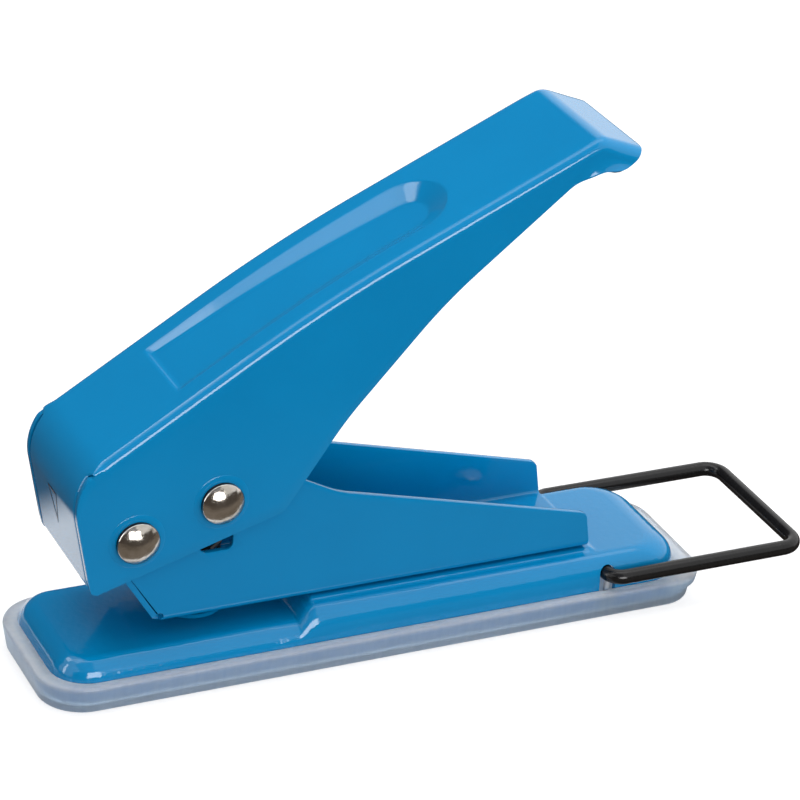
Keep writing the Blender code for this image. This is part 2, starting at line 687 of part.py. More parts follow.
def foot_at(foot, last, x):
    """Point of the foot under a place, drawn back near the lip so that both ends meet."""
    knee = KNEE_SHARE * HANDLE_LENGTH
    drawn = knee + (x - knee) * (foot[-1, 0] - knee) / (last - knee)
    x = np.maximum(np.where(x > knee, drawn, x), foot[0, 0])
    return np.stack([x, np.interp(x, foot[:, 0], foot[:, 1])], axis=-1)


def handle_rows(top_path, foot):
    """Row places along the top, from the seam to the lip."""
    total = path_lengths(top_path)[-1]
    coarse = np.arange(FLAP_LENGTH, total, ROW_PITCH)
    nose = np.interp(0.0, top_path[:, 0], path_lengths(top_path))
    start = RECESS_START + nose
    end = RECESS_END + nose
    fine = np.concatenate([[FLAP_LENGTH, start, start + RECESS_STEP],
                           np.arange(end - RECESS_HALF_WIDTH, end, FINE_PITCH), [end],
                           np.arange(total - LIP_RUN - LIP_CORNER, total, FINE_PITCH), [total]])
    line = bend_line(top_path, coarse)
    turns = np.interp([x for x in foot[:, 0] if x > line[0, 0]], line[:, 0], coarse)
    rows = list(fine)
    for place in np.concatenate([turns, coarse]):
        if np.min(np.abs(np.array(rows) - place)) > FINE_PITCH / 2:
            rows.append(place)
    return np.sort(np.array(rows))


def handle_columns():
    """Places across half of the flat top, from its edge to the middle."""
    flat = HANDLE_HALF_WIDTH - HANDLE_BEND
    inside = RECESS_HALF_WIDTH - RECESS_STEP
    return [flat, RECESS_HALF_WIDTH] + [inside * (1 - share) for share in COLUMN_SHARES]


def pulled_place(place, total, beyond):
    """Rows near the lip stop short at its corners, the more the farther down the side."""
    reach = HANDLE_BEND * math.pi / 2 + LIP_ROUND
    corner = min(1.0, beyond / reach)
    shortened = LIP_CORNER * (1 - math.sqrt(1 - corner * corner))
    start = total - LIP_RUN
    return start + (place - start) * (1 - shortened / LIP_RUN) if place > start else place


def handle_section(place, top_path, foot):
    """Points of the outer face across one row, from one foot over the top to the other."""
    total = path_lengths(top_path)[-1]
    arc = HANDLE_BEND * math.pi / 2
    last = bend_line(top_path, np.array([total]))[0, 0]
    end = foot_at(foot, last, bend_line(top_path, np.array([place]))[0, 0])
    half = []
    for share in WALL_SHARES:
        at = np.array([pulled_place(place, total, arc + LIP_ROUND * share)])
        start = bend_line(top_path, at)[0]
        where = start + (end - start) * share
        spread = smooth_step((along(top_path, at)[0, 0] - HANDLE_LENGTH + FLARE_LENGTH) / FLARE_LENGTH)
        half.append((where[0], HANDLE_HALF_WIDTH + FLARE * float(spread) * share * share, where[1]))
    for k in range(BEND_STEPS):
        angle = math.pi / 2 * (1 - k / BEND_STEPS)
        at = np.array([pulled_place(place, total, HANDLE_BEND * angle)])
        point, normal = path_frame(top_path, at)
        where = point[0] - HANDLE_BEND * (1 - math.cos(angle)) * normal[0]
        half.append((where[0], HANDLE_HALF_WIDTH - HANDLE_BEND * (1 - math.sin(angle)), where[1]))
    point = along(top_path, np.array([place]))[0]
    columns = handle_columns()
    flat = [(point[0], y, point[1] - float(recess_depth(np.array(point[0]), np.array(y))))
            for y in columns + [0.0] + [-y for y in reversed(columns)]]
    return half + flat + [(x, -y, z) for x, y, z in reversed(half)]


def handle_mesh():
    """Top, bends and walls in rows, the walls' rows before the seam, and the nose flap."""
    top_path = handle_top()
    nose, foot = wall_outline(top_path)
    rows = [handle_section(place, top_path, foot) for place in handle_rows(top_path, foot)]
    points = [point for row in rows for point in row]
    width = len(rows[0])
    grid = np.arange(len(points)).reshape(len(rows), width)
    wall = len(WALL_SHARES) + 1
    faces = []

    def join_rows(index):
        for first, second in zip(index, index[1:]):
            for j in range(len(first) - 1):
                faces.append([int(first[j]), int(first[j + 1]), int(second[j + 1]), int(second[j])])

    def add_rows(block):
        start = len(points)
        points.extend(point for row in block for point in row)
        return np.arange(start, len(points)).reshape(len(block), -1)

    join_rows(grid)
    below = foot_at(foot, top_path[-1, 0], nose[:-1, 0])
    for side, seam in ((1, grid[:1, :wall]), (-1, grid[:1, ::-1][:, :wall])):
        block = [[(x + (u - x) * share, side * HANDLE_HALF_WIDTH, z + (v - z) * share)
                  for share in WALL_SHARES + (0.0,)]
                 for (x, z), (u, v) in zip(nose[:-1], below)]
        join_rows(np.concatenate([add_rows(block), seam]))

    shoulder = len(WALL_SHARES) + BEND_STEPS
    seam = grid[:1, shoulder:width - shoulder]
    flat = [points[i][1] for i in seam[0]]
    flap_half = HANDLE_HALF_WIDTH - SHEET - FLAP_GAP
    places = np.linspace(FLAP_LENGTH, 0.0, FLAP_ROWS + 1)[1:]
    spread = 1 + (flap_half / flat[0] - 1) * smooth_step((FLAP_LENGTH - places) / NOSE_BLEND)
    block = [[(x, y * wide, z) for y in flat]
             for (x, z), wide in zip(along(top_path, places), spread)]
    join_rows(np.concatenate([seam, add_rows(block)]))

    mesh = bpy.data.meshes.new("handle")
    mesh.from_pydata([tuple(float(v) for v in p) for p in points], [], faces)
    shape = bmesh.new()
    shape.from_mesh(mesh)
    bmesh.ops.remove_doubles(shape, verts=shape.verts, dist=MERGE)
    bmesh.ops.recalc_face_normals(shape, faces=shape.faces)
    if max(shape.faces, key=lambda f: f.calc_center_median().z).normal.z < 0:
        bmesh.ops.reverse_faces(shape, faces=shape.faces)
    shape.to_mesh(mesh)
    shape.free()
    mesh.shade_smooth()
    mesh.set_sharp_from_angle(angle=SHARP_ANGLE)
    return mesh


def make_handle():
    tilt = (0.0, -HANDLE_TILT, 0.0)
    handle = add_object("handle", handle_mesh(), BLUE_PAINT, PIVOT, tilt)
    solidify(handle)
    reach = HANDLE_HALF_WIDTH + OVERRUN
    hole = SHANK_RADIUS + RUN_GAP
    boolean(handle, cylinder_tool("handle_pivot_holes", hole, reach, PIVOT, ALONG_Y))
    boolean(handle, cylinder_tool("handle_drive_holes", hole, reach, (0.0, 0.0, DRIVE_TOP), ALONG_Y))


# Rivets, washers and sleeves that carry the handle
def make_rivet(name, place):
    """Domed head, plain shank and a domed tail, lying across the handle."""
    under = HANDLE_HALF_WIDTH + 2 * WASHER_GAP + WASHER_THICKNESS
    upper = dome_profile(HEAD_RADIUS, HEAD_HEIGHT, under)
    profile = upper + [(SHANK_RADIUS, under), (SHANK_RADIUS, -under)]
    profile += [(r, -z) for r, z in reversed(upper)]
    turned(name, profile, NICKEL, place, ALONG_Y)


def make_washers(name, place):
    for side, label in ((-1, "near"), (1, "far")):
        bottom = HANDLE_HALF_WIDTH + WASHER_GAP
        levels = sorted((side * bottom, side * (bottom + WASHER_THICKNESS)))
        profile = ring_profile(SHANK_RADIUS + RUN_GAP, WASHER_RADIUS, *levels)
        turned(f"{name}_{label}", profile, NICKEL, place, ALONG_Y, closed=True)


def make_sleeve(name, place):
    half = EAR_INSIDE - RUN_GAP
    profile = ring_profile(SHANK_RADIUS + RUN_GAP, SLEEVE_RADIUS, -half, half)
    turned(name, profile, HARD_STEEL, place, ALONG_Y, closed=True)


# Punch, guide, die and spring
def make_punch():
    tip = WEB_BOTTOM + PUNCH_TIP_RISE
    under = PUNCH_TOP - PUNCH_HEAD_HEIGHT
    crown = PUNCH_HEAD_RADIUS - PUNCH_CHAMFER
    profile = [(0.0, PUNCH_TOP), (crown, PUNCH_TOP), (PUNCH_HEAD_RADIUS, PUNCH_TOP - PUNCH_CHAMFER),
               (PUNCH_HEAD_RADIUS, under), (PUNCH_RADIUS, under), (PUNCH_RADIUS, tip),
               (0.0, tip + PUNCH_CHAMFER)]
    turned("punch_pin", profile, HARD_STEEL, (0.0, 0.0, 0.0))
    washer_top = under - RUN_GAP
    bottom = washer_top - SPRING_WASHER_THICKNESS
    ring = ring_profile(PUNCH_RADIUS + RUN_GAP, SPRING_WASHER_RADIUS, bottom, washer_top)
    turned("spring_washer", ring, NICKEL, (0.0, 0.0, 0.0), closed=True)
    return bottom


def make_guide():
    """Flanged bush in the web, with a spigot that centres the spring."""
    bore = PUNCH_RADIUS + RUN_GAP
    seat = GUIDE_SEAT + GUIDE_FLANGE
    foot = WEB_BOTTOM
    profile = [(bore + GUIDE_SPIGOT_WALL, seat + GUIDE_SPIGOT), (bore + GUIDE_SPIGOT_WALL, seat),
               (GUIDE_FLANGE_RADIUS, seat), (GUIDE_FLANGE_RADIUS, GUIDE_SEAT),
               (GUIDE_RADIUS, GUIDE_SEAT), (GUIDE_RADIUS, foot), (bore, foot),
               (bore, seat + GUIDE_SPIGOT)]
    turned("punch_guide", profile, HARD_STEEL, (0.0, 0.0, 0.0), closed=True)
    return seat


def make_die():
    """Hardened ring that sits in the punching table."""
    bore = PUNCH_RADIUS + DIE_BORE_GAP
    seat = TABLE_TOP + RUN_GAP
    top = seat + DIE_FLANGE
    profile = [(DIE_FLANGE_RADIUS - PUNCH_CHAMFER, top), (DIE_FLANGE_RADIUS, seat),
               (DIE_RADIUS, seat), (DIE_RADIUS, top - DIE_DEPTH), (bore, top - DIE_DEPTH),
               (bore, top)]
    turned("die_bush", profile, BLUE_PAINT, (0.0, 0.0, 0.0), closed=True)


def make_spring(seat, washer):
    """One unbroken tube that climbs evenly from the guide to the washer."""
    radius = PUNCH_RADIUS + RUN_GAP + GUIDE_SPIGOT_WALL + RUN_GAP + WIRE_RADIUS
    low = seat + RUN_GAP + WIRE_RADIUS
    high = washer - RUN_GAP - WIRE_RADIUS
    count = SPRING_CURLS * CURL_POINTS
    turn = np.arange(count + 1) * 2 * math.pi / CURL_POINTS
    height = np.linspace(low, high, count + 1)
    path = np.stack([radius * np.cos(turn), radius * np.sin(turn), height], axis=1)
    wire("return_spring", path, WIRE_RADIUS, SPRING_SIDES, SPRING_STEEL, (0.0, 0.0, 0.0))
    apart = np.linalg.norm(path[CURL_POINTS:] - path[:-CURL_POINTS], axis=1)
    print("return_spring least gap between curls", float(apart.min()) - 2 * WIRE_RADIUS)


def wire(name, path, radius, sides, material, location):
    curve = bpy.data.curves.new(name, "CURVE")
    curve.dimensions = "3D"
    curve.bevel_depth = radius
    curve.bevel_resolution = sides
    curve.use_fill_caps = True
    spline = curve.splines.new("POLY")
    spline.points.add(len(path) - 1)
    for point, place in zip(spline.points, path):
        point.co = (*(float(v) for v in place), 1.0)
    return add_object(name, curve, material, location)


def make_bail():
    """Half of the wire is rounded at its corners and then repeated for the other side."""
    inner = BASE_HALF_WIDTH - SHEET - BAIL_END_DEPTH
    corners = [(0.0, -inner), (0.0, -BAIL_HALF_WIDTH), (BAIL_REACH, -BAIL_HALF_WIDTH),
               (BAIL_REACH, 0.0)]
    hip = BAIL_HALF_WIDTH - BASE_HALF_WIDTH + SHEET
    half = round_corners(corners, (hip, BAIL_BEND), BAIL_POINTS)[:-1]
    path = [(x, y, 0.0) for x, y in half] + [(x, -y, 0.0) for x, y in half[::-1]]
    wire("lock_bail", path, BAIL_RADIUS, BAIL_SIDES, BLACK_WIRE, (BAIL_PIVOT, 0.0, BAIL_HEIGHT))


make_chip_tray()
make_base_pan()
make_die()
make_frame()
make_frame_rivets()
SPRING_SEAT = make_guide()
SPRING_TOP = make_punch()
make_spring(SPRING_SEAT, SPRING_TOP)
make_handle()
make_rivet("pivot_rivet", PIVOT)
make_washers("pivot_washer", PIVOT)
make_sleeve("pivot_sleeve", PIVOT)
make_rivet("drive_rivet", (0.0, 0.0, DRIVE_TOP))
make_washers("drive_washer", (0.0, 0.0, DRIVE_TOP))
make_sleeve("drive_sleeve", (0.0, 0.0, DRIVE_TOP))
make_bail()
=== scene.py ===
import math

import bmesh
import bpy
import numpy as np
from mathutils import Matrix, Vector


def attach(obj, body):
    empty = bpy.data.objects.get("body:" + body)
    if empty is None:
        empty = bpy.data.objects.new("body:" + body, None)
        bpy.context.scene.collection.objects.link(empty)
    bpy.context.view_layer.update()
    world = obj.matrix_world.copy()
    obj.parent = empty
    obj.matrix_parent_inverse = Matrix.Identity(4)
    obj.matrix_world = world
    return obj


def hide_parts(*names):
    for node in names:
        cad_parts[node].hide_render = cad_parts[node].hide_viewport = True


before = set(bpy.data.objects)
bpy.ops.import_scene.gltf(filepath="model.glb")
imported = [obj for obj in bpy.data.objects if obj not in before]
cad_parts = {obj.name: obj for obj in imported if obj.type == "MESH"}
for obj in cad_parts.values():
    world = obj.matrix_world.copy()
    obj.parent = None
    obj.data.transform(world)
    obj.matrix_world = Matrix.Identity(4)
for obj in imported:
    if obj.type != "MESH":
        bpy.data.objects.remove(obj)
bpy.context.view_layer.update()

mm = 0.001
mergeDistance = 1e-7        # metres; points closer than this are one point
overrun = 3                 # how far a cutter passes through
scene = bpy.context.scene
print("frame loaded:", len(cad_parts), "nodes")


# paths and surfaces
def xyz(x, y, z):
    # points from their coordinates, spread to one shape
    return np.stack(np.broadcast_arrays(x, y, z), -1)


def roundPath(corners, rounds, steps=14):
    # every inner corner becomes an arc: centre = corner - into*setback + side*radius
    corners = [np.array(c, float) for c in corners]
    path = [corners[0][None, :]]
    for before, corner, after, radius in zip(corners, corners[1:], corners[2:], rounds):
        into = (corner - before) / np.linalg.norm(corner - before)
        out = (after - corner) / np.linalg.norm(after - corner)
        turn = math.acos(np.clip(into @ out, -1, 1))
        side = np.array([-into[1], into[0]])
        side *= math.copysign(1, side @ out)
        centre = corner - into * radius * math.tan(turn / 2) + side * radius
        a = np.linspace(0, turn, steps + 1)[:, None]
        path.append(centre + radius * (into * np.sin(a) - side * np.cos(a)))
    return np.concatenate(path + [corners[-1][None, :]])


def pathLengths(path):
    return np.concatenate([[0], np.cumsum(np.linalg.norm(np.diff(path, axis=0), axis=1))])


def along(path, places):
    lengths = pathLengths(path)
    return np.stack([np.interp(places, lengths, path[:, k]) for k in range(path.shape[1])], -1)


def normalsOf(path, places, reach):
    # the direction of travel over a short reach, turned a quarter to the left
    ahead = along(path, places + reach) - along(path, places - reach)
    ahead /= np.linalg.norm(ahead, axis=-1, keepdims=True)
    return np.stack([-ahead[..., 1], ahead[..., 0]], -1)


def smooth(t):
    # eases from 0 to 1: three t squared less two t cubed
    t = np.clip(t, 0, 1)
    return t * t * (3 - 2 * t)


def quads(index, wrap=False):
    # four neighbours of an index grid make one face; wrap joins the last column to the first
    if wrap:
        index = np.concatenate([index, index[:, :1]], 1)
    a, b, c, d = index[:-1, :-1], index[1:, :-1], index[1:, 1:], index[:-1, 1:]
    return np.stack([a, b, c, d], -1).reshape(-1, 4)


def gridIndex(grid, start=0):
    # one number for each point of a grid, counted on from the start
    rows, columns = grid.shape[:2]
    return start + np.arange(rows * columns).reshape(rows, columns)


def band(upper, lower):
    # faces between two closed rings of points
    return np.stack([upper, lower, np.roll(lower, -1), np.roll(upper, -1)], 1)


def aroundRing(steps):
    return np.arange(steps) * 2 * math.pi / steps


def addObject(name, data):
    obj = bpy.data.objects.new(name, data)
    scene.collection.objects.link(obj)
    return obj


def meshObject(name, points, faces, material, uv=None):
    mesh = bpy.data.meshes.new(name)
    mesh.from_pydata((np.asarray(points) * mm).tolist(), [], [list(face) for face in faces])
    if uv is not None:
        corner = np.zeros(len(mesh.loops), np.int32)
        mesh.loops.foreach_get("vertex_index", corner)
        layer = mesh.uv_layers.new(name="UVMap")
        layer.data.foreach_set("uv", np.asarray(uv, np.float32)[corner].ravel())
    mesh.shade_smooth()
    mesh.materials.append(material)
    return addObject(name, mesh)


def thicken(obj, sheet, offset=-1):
    wall = obj.modifiers.new("sheet", "SOLIDIFY")
    wall.thickness = sheet * mm
    wall.offset = offset
    wall.use_even_offset = True


def softenEdges(obj, width, angle=50, segments=2):
    bevel = obj.modifiers.new("edges", "BEVEL")
    bevel.width = width * mm
    bevel.segments = segments
    bevel.limit_method = "ANGLE"
    bevel.angle_limit = math.radians(angle)
    bevel.use_clamp_overlap = True
    bevel.harden_normals = False


def settle(obj):
    # bake the modifiers so far into the mesh
    graph = bpy.context.evaluated_depsgraph_get()
    baked = bpy.data.meshes.new_from_object(obj.evaluated_get(graph))
    obj.modifiers.clear()
    obj.data = baked


def cut(obj, cutters):
    for tool in cutters:
        step = obj.modifiers.new("cut", "BOOLEAN")
        step.operation = "DIFFERENCE"
        step.solver = "EXACT"
        step.object = tool
    settle(obj)
    for tool in cutters:
        bpy.data.objects.remove(tool, do_unlink=True)


def sidePlate(name, outline, half, middle=0):
    # an outline (x, z) carried across, from middle - half to middle + half
    n = len(outline)
    x, z = outline[:, 0], outline[:, 1]
    points = np.concatenate([xyz(x, middle + side * half, z) for side in (-1, 1)])
    ring = np.arange(n)
    sides = np.stack([np.roll(ring, -1), ring, ring + n, np.roll(ring, -1) + n], 1)
    faces = [list(ring), list(ring[::-1] + n)] + sides.tolist()
    tool = meshObject(name, points, faces, paintBlue)
    flipOutwards(tool)
    return tool


def flipOutwards(obj):
    shape = bmesh.new()
    shape.from_mesh(obj.data)
    bmesh.ops.remove_doubles(shape, verts=shape.verts, dist=mergeDistance)
    bmesh.ops.recalc_face_normals(shape, faces=shape.faces)
    shape.to_mesh(obj.data)
    shape.free()


def turnSheetOut(obj, end=1):
    # on an open sheet the highest face looks up, or with end -1 the lowest face looks down
    flipOutwards(obj)
    face = max(obj.data.polygons, key=lambda f: end * f.center.z)
    if end * face.normal.z < 0:
        obj.data.flip_normals()


def turned(name, profile, place, material, axis="z", steps=72):
    # profile (radius, height) turned about z, or about y: (r cos a, r sin a, h)
    profile = np.array(profile, float)
    a = aroundRing(steps)
    r, h = profile[:, :1], profile[:, 1:]
    ring = xyz(r * np.cos(a), r * np.sin(a), h)
    if axis == "y":
        ring = ring[..., [0, 2, 1]]
    points = ring.reshape(-1, 3) + np.array(place)
    obj = meshObject(name, points, quads(gridIndex(ring), wrap=True), material)
    flipOutwards(obj)
    return obj


def drill(name, radius, low, high):
    # round cutter on the punch axis, from one height to another
    profile = [(0, low), (radius, low), (radius, high), (0, high)]
    return turned(name, profile, (0, 0, 0), paintBlue)


# materials
def nodeMaterial(name):
    material = bpy.data.materials.new(name)
    material.use_nodes = True
    return material, material.node_tree


def newMaterial(name):
    material, tree = nodeMaterial(name)
    shader = tree.nodes["Principled BSDF"]
    return material, tree, shader, tree.nodes.new("ShaderNodeTexCoord").outputs


def noiseOn(tree, source, scale, detail, roughness=0.5):
    noise = tree.nodes.new("ShaderNodeTexNoise")
    noise.inputs["Scale"].default_value = scale
    noise.inputs["Detail"].default_value = detail
    noise.inputs["Roughness"].default_value = roughness
    tree.links.new(source, noise.inputs["Vector"])
    return noise.outputs["Fac"]


def rampOn(tree, source, stops):
    ramp = tree.nodes.new("ShaderNodeValToRGB")
    while len(ramp.color_ramp.elements) < len(stops):
        ramp.color_ramp.elements.new(0.5)
    for element, (place, colour) in zip(ramp.color_ramp.elements, stops):
        element.position = place
        element.color = (*colour, 1)
    tree.links.new(source, ramp.inputs["Fac"])
    return ramp.outputs["Color"]


def rangeOn(tree, source, low, high, first=0.0, last=1.0):
    # low to high, as the source goes from first to last
    node = tree.nodes.new("ShaderNodeMapRange")
    for name, value in (("From Min", first), ("From Max", last), ("To Min", low), ("To Max", high)):
        node.inputs[name].default_value = value
    tree.links.new(source, node.inputs["Value"])
    return node.outputs["Result"]


def mappingOn(tree, source, scale, move=(0, 0, 0)):
    mapping = tree.nodes.new("ShaderNodeMapping")
    mapping.inputs["Location"].default_value = move
    mapping.inputs["Scale"].default_value = scale
    tree.links.new(source, mapping.inputs["Vector"])
    return mapping.outputs["Vector"]


def splitOn(tree, source):
    parts = tree.nodes.new("ShaderNodeSeparateXYZ")
    tree.links.new(source, parts.inputs["Vector"])
    return parts.outputs


def colourOn(tree, shader, source, stops):
    tree.links.new(rampOn(tree, source, stops), shader.inputs["Base Color"])


def roughOn(tree, shader, source, low, high):
    tree.links.new(rangeOn(tree, source, low, high), shader.inputs["Roughness"])


def bumpOn(tree, shader, heights):
    # heights: list of (socket, depth in metres), chained into one normal
    last = None
    for socket, depth in heights:
        bump = tree.nodes.new("ShaderNodeBump")
        bump.inputs["Distance"].default_value = depth
        bump.inputs["Strength"].default_value = 1.0
        tree.links.new(socket, bump.inputs["Height"])
        if last is not None:
            tree.links.new(last.outputs["Normal"], bump.inputs["Normal"])
        last = bump
    tree.links.new(last.outputs["Normal"], shader.inputs["Normal"])


# scales are per metre, depths of bump in metres, and colours linear
paint = dict(colour=(0.0004, 0.232, 0.510), deep=(0.0002, 0.218, 0.484), toneScale=55,
             roughness=(0.06, 0.12), ior=1.44, coat=0.30, coatIor=1.45, coatRoughness=0.05,
             peel=0.000007, basePeel=0.000028, peelScale=900, grain=0.0000005, grainScale=5200)


def makePaint(name, peelDepth):
    # glossy enamel: faint orange peel, a finer grain and a slow change of tone
    p = paint
    material, tree, shader, coords = newMaterial(name)
    place = coords["Object"]
    tone = noiseOn(tree, place, p["toneScale"], 2)
    colourOn(tree, shader, tone, [(0.3, p["deep"]), (0.7, p["colour"])])
    peel = noiseOn(tree, place, p["peelScale"], 1)
    grain = noiseOn(tree, place, p["grainScale"], 2)
    roughOn(tree, shader, grain, *p["roughness"])
    shader.inputs["IOR"].default_value = p["ior"]
    shader.inputs["Coat Weight"].default_value = p["coat"]
    shader.inputs["Coat Roughness"].default_value = p["coatRoughness"]
    shader.inputs["Coat IOR"].default_value = p["coatIor"]
    bumpOn(tree, shader, [(peel, peelDepth), (grain, p["grain"])])
    return material


plate = dict(colour=(0.66, 0.62, 0.57), deep=(0.50, 0.46, 0.40), roughness=(0.08, 0.22),
             dent=0.00009, dentScale=420, mark=0.000012, markScale=2400)


def makeNickel(name):
    # bright plate with a tumbled surface: soft dents and fine marks
    p = plate
    material, tree, shader, coords = newMaterial(name)
    place = coords["Object"]
    dents = noiseOn(tree, place, p["dentScale"], 3)
    marks = noiseOn(tree, place, p["markScale"], 3, 0.6)
    colourOn(tree, shader, dents, [(0.35, p["deep"]), (0.65, p["colour"])])
    roughOn(tree, shader, marks, *p["roughness"])
    shader.inputs["Metallic"].default_value = 1.0
    bumpOn(tree, shader, [(dents, p["dent"]), (marks, p["mark"])])
    return material


steel = dict(
    black=dict(colour=(0.035, 0.034, 0.036), roughness=(0.28, 0.46), markScale=2600, mark=0.000004),
    spring=dict(colour=(0.05, 0.05, 0.055), roughness=(0.30, 0.50), markScale=3600, mark=0.000004))


def makeSteel(name, kind):
    # ground or drawn steel: fine marks in colour, gloss and height
    s = steel[kind]
    material, tree, shader, coords = newMaterial(name)
    marks = noiseOn(tree, coords["Object"], s["markScale"], 5, 0.65)
    deep = tuple(0.8 * c for c in s["colour"])
    colourOn(tree, shader, marks, [(0.3, deep), (0.7, s["colour"])])
    roughOn(tree, shader, marks, *s["roughness"])
    shader.inputs["Metallic"].default_value = 1.0
    bumpOn(tree, shader, [(marks, s["mark"])])
    return material


wireCoat = dict(colour=(0.009, 0.009, 0.0095), deep=(0.004, 0.004, 0.0044), roughness=(0.16, 0.26),
                ior=1.45, ridge=0.00002, ridgeScale=(2800, 260, 1), skin=0.000008, skinScale=5000)


def makeWire(name):
    # satin black coat over drawn wire: fine ridges along it and a few across, on the wire's own UV
    w = wireCoat
    material, tree, shader, coords = newMaterial(name)
    ridges = noiseOn(tree, mappingOn(tree, coords["UV"], w["ridgeScale"]), 1.0, 2)
    skin = noiseOn(tree, coords["Object"], w["skinScale"], 3)
    colourOn(tree, shader, ridges, [(0.3, w["deep"]), (0.75, w["colour"])])
    roughOn(tree, shader, ridges, *w["roughness"])
    shader.inputs["IOR"].default_value = w["ior"]
    bumpOn(tree, shader, [(ridges, w["ridge"]), (skin, w["skin"])])
    return material


tray = dict(
    front=-28.5, rear=88.2, halfWidth=14.9, height=4.7, draft=0.6, floor=1.0, wall=1.1, bead=1.3,
    beadRounds=(0.3, 0.2), edge=0.5, frontCorner=8.0, rearCorner=6.8, ledge=1.0, ledgeFrom=2.8,
    gap=0.3, sideShares=(0.2, 0.36, 0.42, 0.6, 0.8), rows=(-19, 77, 60), columns=25,
    postX=69.45, postY=12.35, post=(0.5, 0.45), postSquare=0.6, postFoot=(1.3, 3.0), postTop=5.9,
    postDrops=(0.5, 0.15), postShares=(1.0, 1.0, 0.95, 0.85, 0.5))
# the tones by height are painted light: a pale, warm painted highlight at the top of the rim, and
# the blue of the base seen through the plastic painted down the wall
plastic = dict(
    tones=[(0.0, (0.58, 0.70, 0.84)), (0.35, (0.54, 0.68, 0.82)),
           (0.80, (0.56, 0.69, 0.82)), (1.0, (0.95, 0.93, 0.92))],
    streak=(0.90, 0.93, 0.96), roughness=(0.28, 0.44), transmission=0.72, ior=1.45,
    flow=0.00001, flowScale=(1100, 1100, 70), frost=0.000012, frostScale=3200)


def makeTrayPlastic(name):
    # milky moulding with fine upright flow lines; its tone by height is painted light: a pale, warm
    # painted highlight at the rim's top, and down the wall the blue of the base seen through it,
    # painted in
    p = plastic
    material, tree, shader, coords = newMaterial(name)
    place = coords["Object"]
    flow = noiseOn(tree, mappingOn(tree, place, p["flowScale"]), 1.0, 2)
    frost = noiseOn(tree, place, p["frostScale"], 3)
    # painted light by height: highlight at the rim, and the blue of the base seen through it lower
    # down
    level = rangeOn(tree, splitOn(tree, place)["Z"], 0.0, 1.0, 0.0, tray["height"] * mm)
    tone = rampOn(tree, level, p["tones"])
    streaks = rampOn(tree, flow, [(0.35, p["streak"]), (0.65, (1.0, 1.0, 1.0))])
    blend = tree.nodes.new("ShaderNodeMix")
    blend.data_type, blend.blend_type = "RGBA", "MULTIPLY"
    blend.inputs["Factor"].default_value = 1.0
    tree.links.new(tone, blend.inputs["A"])
    tree.links.new(streaks, blend.inputs["B"])
    tree.links.new(blend.outputs["Result"], shader.inputs["Base Color"])
    roughOn(tree, shader, frost, *p["roughness"])
    shader.inputs["Transmission Weight"].default_value = p["transmission"]
    shader.inputs["IOR"].default_value = p["ior"]
    bumpOn(tree, shader, [(frost, p["frost"]), (flow, p["flow"])])
    return material


ink = dict(colour=(0.008, 0.030, 0.075), deep=(0.004, 0.018, 0.05), roughness=(0.25, 0.35),
           speckScale=4000)


def makeInk(name):
    # dark printed line, slightly uneven in tone and gloss
    material, tree, shader, coords = newMaterial(name)
    specks = noiseOn(tree, coords["Object"], ink["speckScale"], 2)
    colourOn(tree, shader, specks, [(0.3, ink["deep"]), (0.7, ink["colour"])])
    roughOn(tree, shader, specks, *ink["roughness"])
    return material


paintBlue = makePaint("blueEnamel", paint["peel"])
paintBase = makePaint("blueEnamelThick", paint["basePeel"])
markInk = makeInk("markInk")
nickel = makeNickel("nickelPlate")
# blackened steel for the inner pieces, also used as painted shade in the dark ring under each rivet
# head
blackSteelAndShade = makeSteel("blackenedSteelAndShade", "black")
springSteel = makeSteel("springSteel", "spring")
blackWire = makeWire("blackWire")
trayPlastic = makeTrayPlastic("frostedPlastic")
print("materials made")


# handle
handle = dict(
    pivot=(-13.7, 27.9), tilt=29.5, halfWidth=11.7, sheet=0.9, rows=300, wallSteps=12, bendSteps=8,
    flatSteps=40, noseRows=40, flapRows=60, bend=1.5, seamBend=0.4, lipBend=2.2, bendGrows=2.5,
    lipGrows=(13, 10),
    top=((-10.1, -2.6), (-3.97, 14.9), (43.98, 16.9), (93.8, 13.2), (99.0, 7.0)),
    topRounds=(9.5, 250, 3.0), seam=20.8, noseFoot=1.2, noseEase=1.4,
    flapGap=0.30, flapEase=0.8, flapCurl=(0.6, 0.3), curlEase=1.2,
    edge=((-10.45, -4.1), (21.7, -11.15), (37.3, -3.25), (60.0, 4.65), (86.5, 9.35), (92.7, 8.26),
          (95.94, 4.43)),
    edgeRounds=(1.0, 1.5, 60, 80, 8, 7), edgeBevel=0.16, flare=1.1, flareLength=11.0, knee=78.0,
    lipSquare=4.5, lipCorner=4.2, lipWrap=(1.5, 2.2), lipRun=8.0,
    recessFrom=17.6, recessTo=70.2, recessHalf=7.4, recessDepth=(0.55, 1.7), recessSlope=0.42,
    recessFrontSlope=0.75, recessBlends=(0.25, 0.10), recessRim=0.12, recessSink=0.03,
    columnShares=(0.34, 0.36, 0.3), columnLeast=(2.4, 1.2))
bendReach, noseReach = 0.25, 0.3    # how far to each side a direction is measured


def softMin(a, b, blend):
    # the smaller of two heights, rounded where they cross
    mix = np.clip(0.5 + 0.5 * (b - a) / blend, 0, 1)
    return b + (a - b) * mix - blend * mix * (1 - mix)


def recessFloor(x):
    # depth of the flat floor, which falls from the front step to the round end
    h = handle
    share = np.clip((x - h["recessFrom"]) / (h["recessTo"] - h["recessFrom"]), 0, 1)
    return h["recessDepth"][0] + (h["recessDepth"][1] - h["recessDepth"][0]) * share


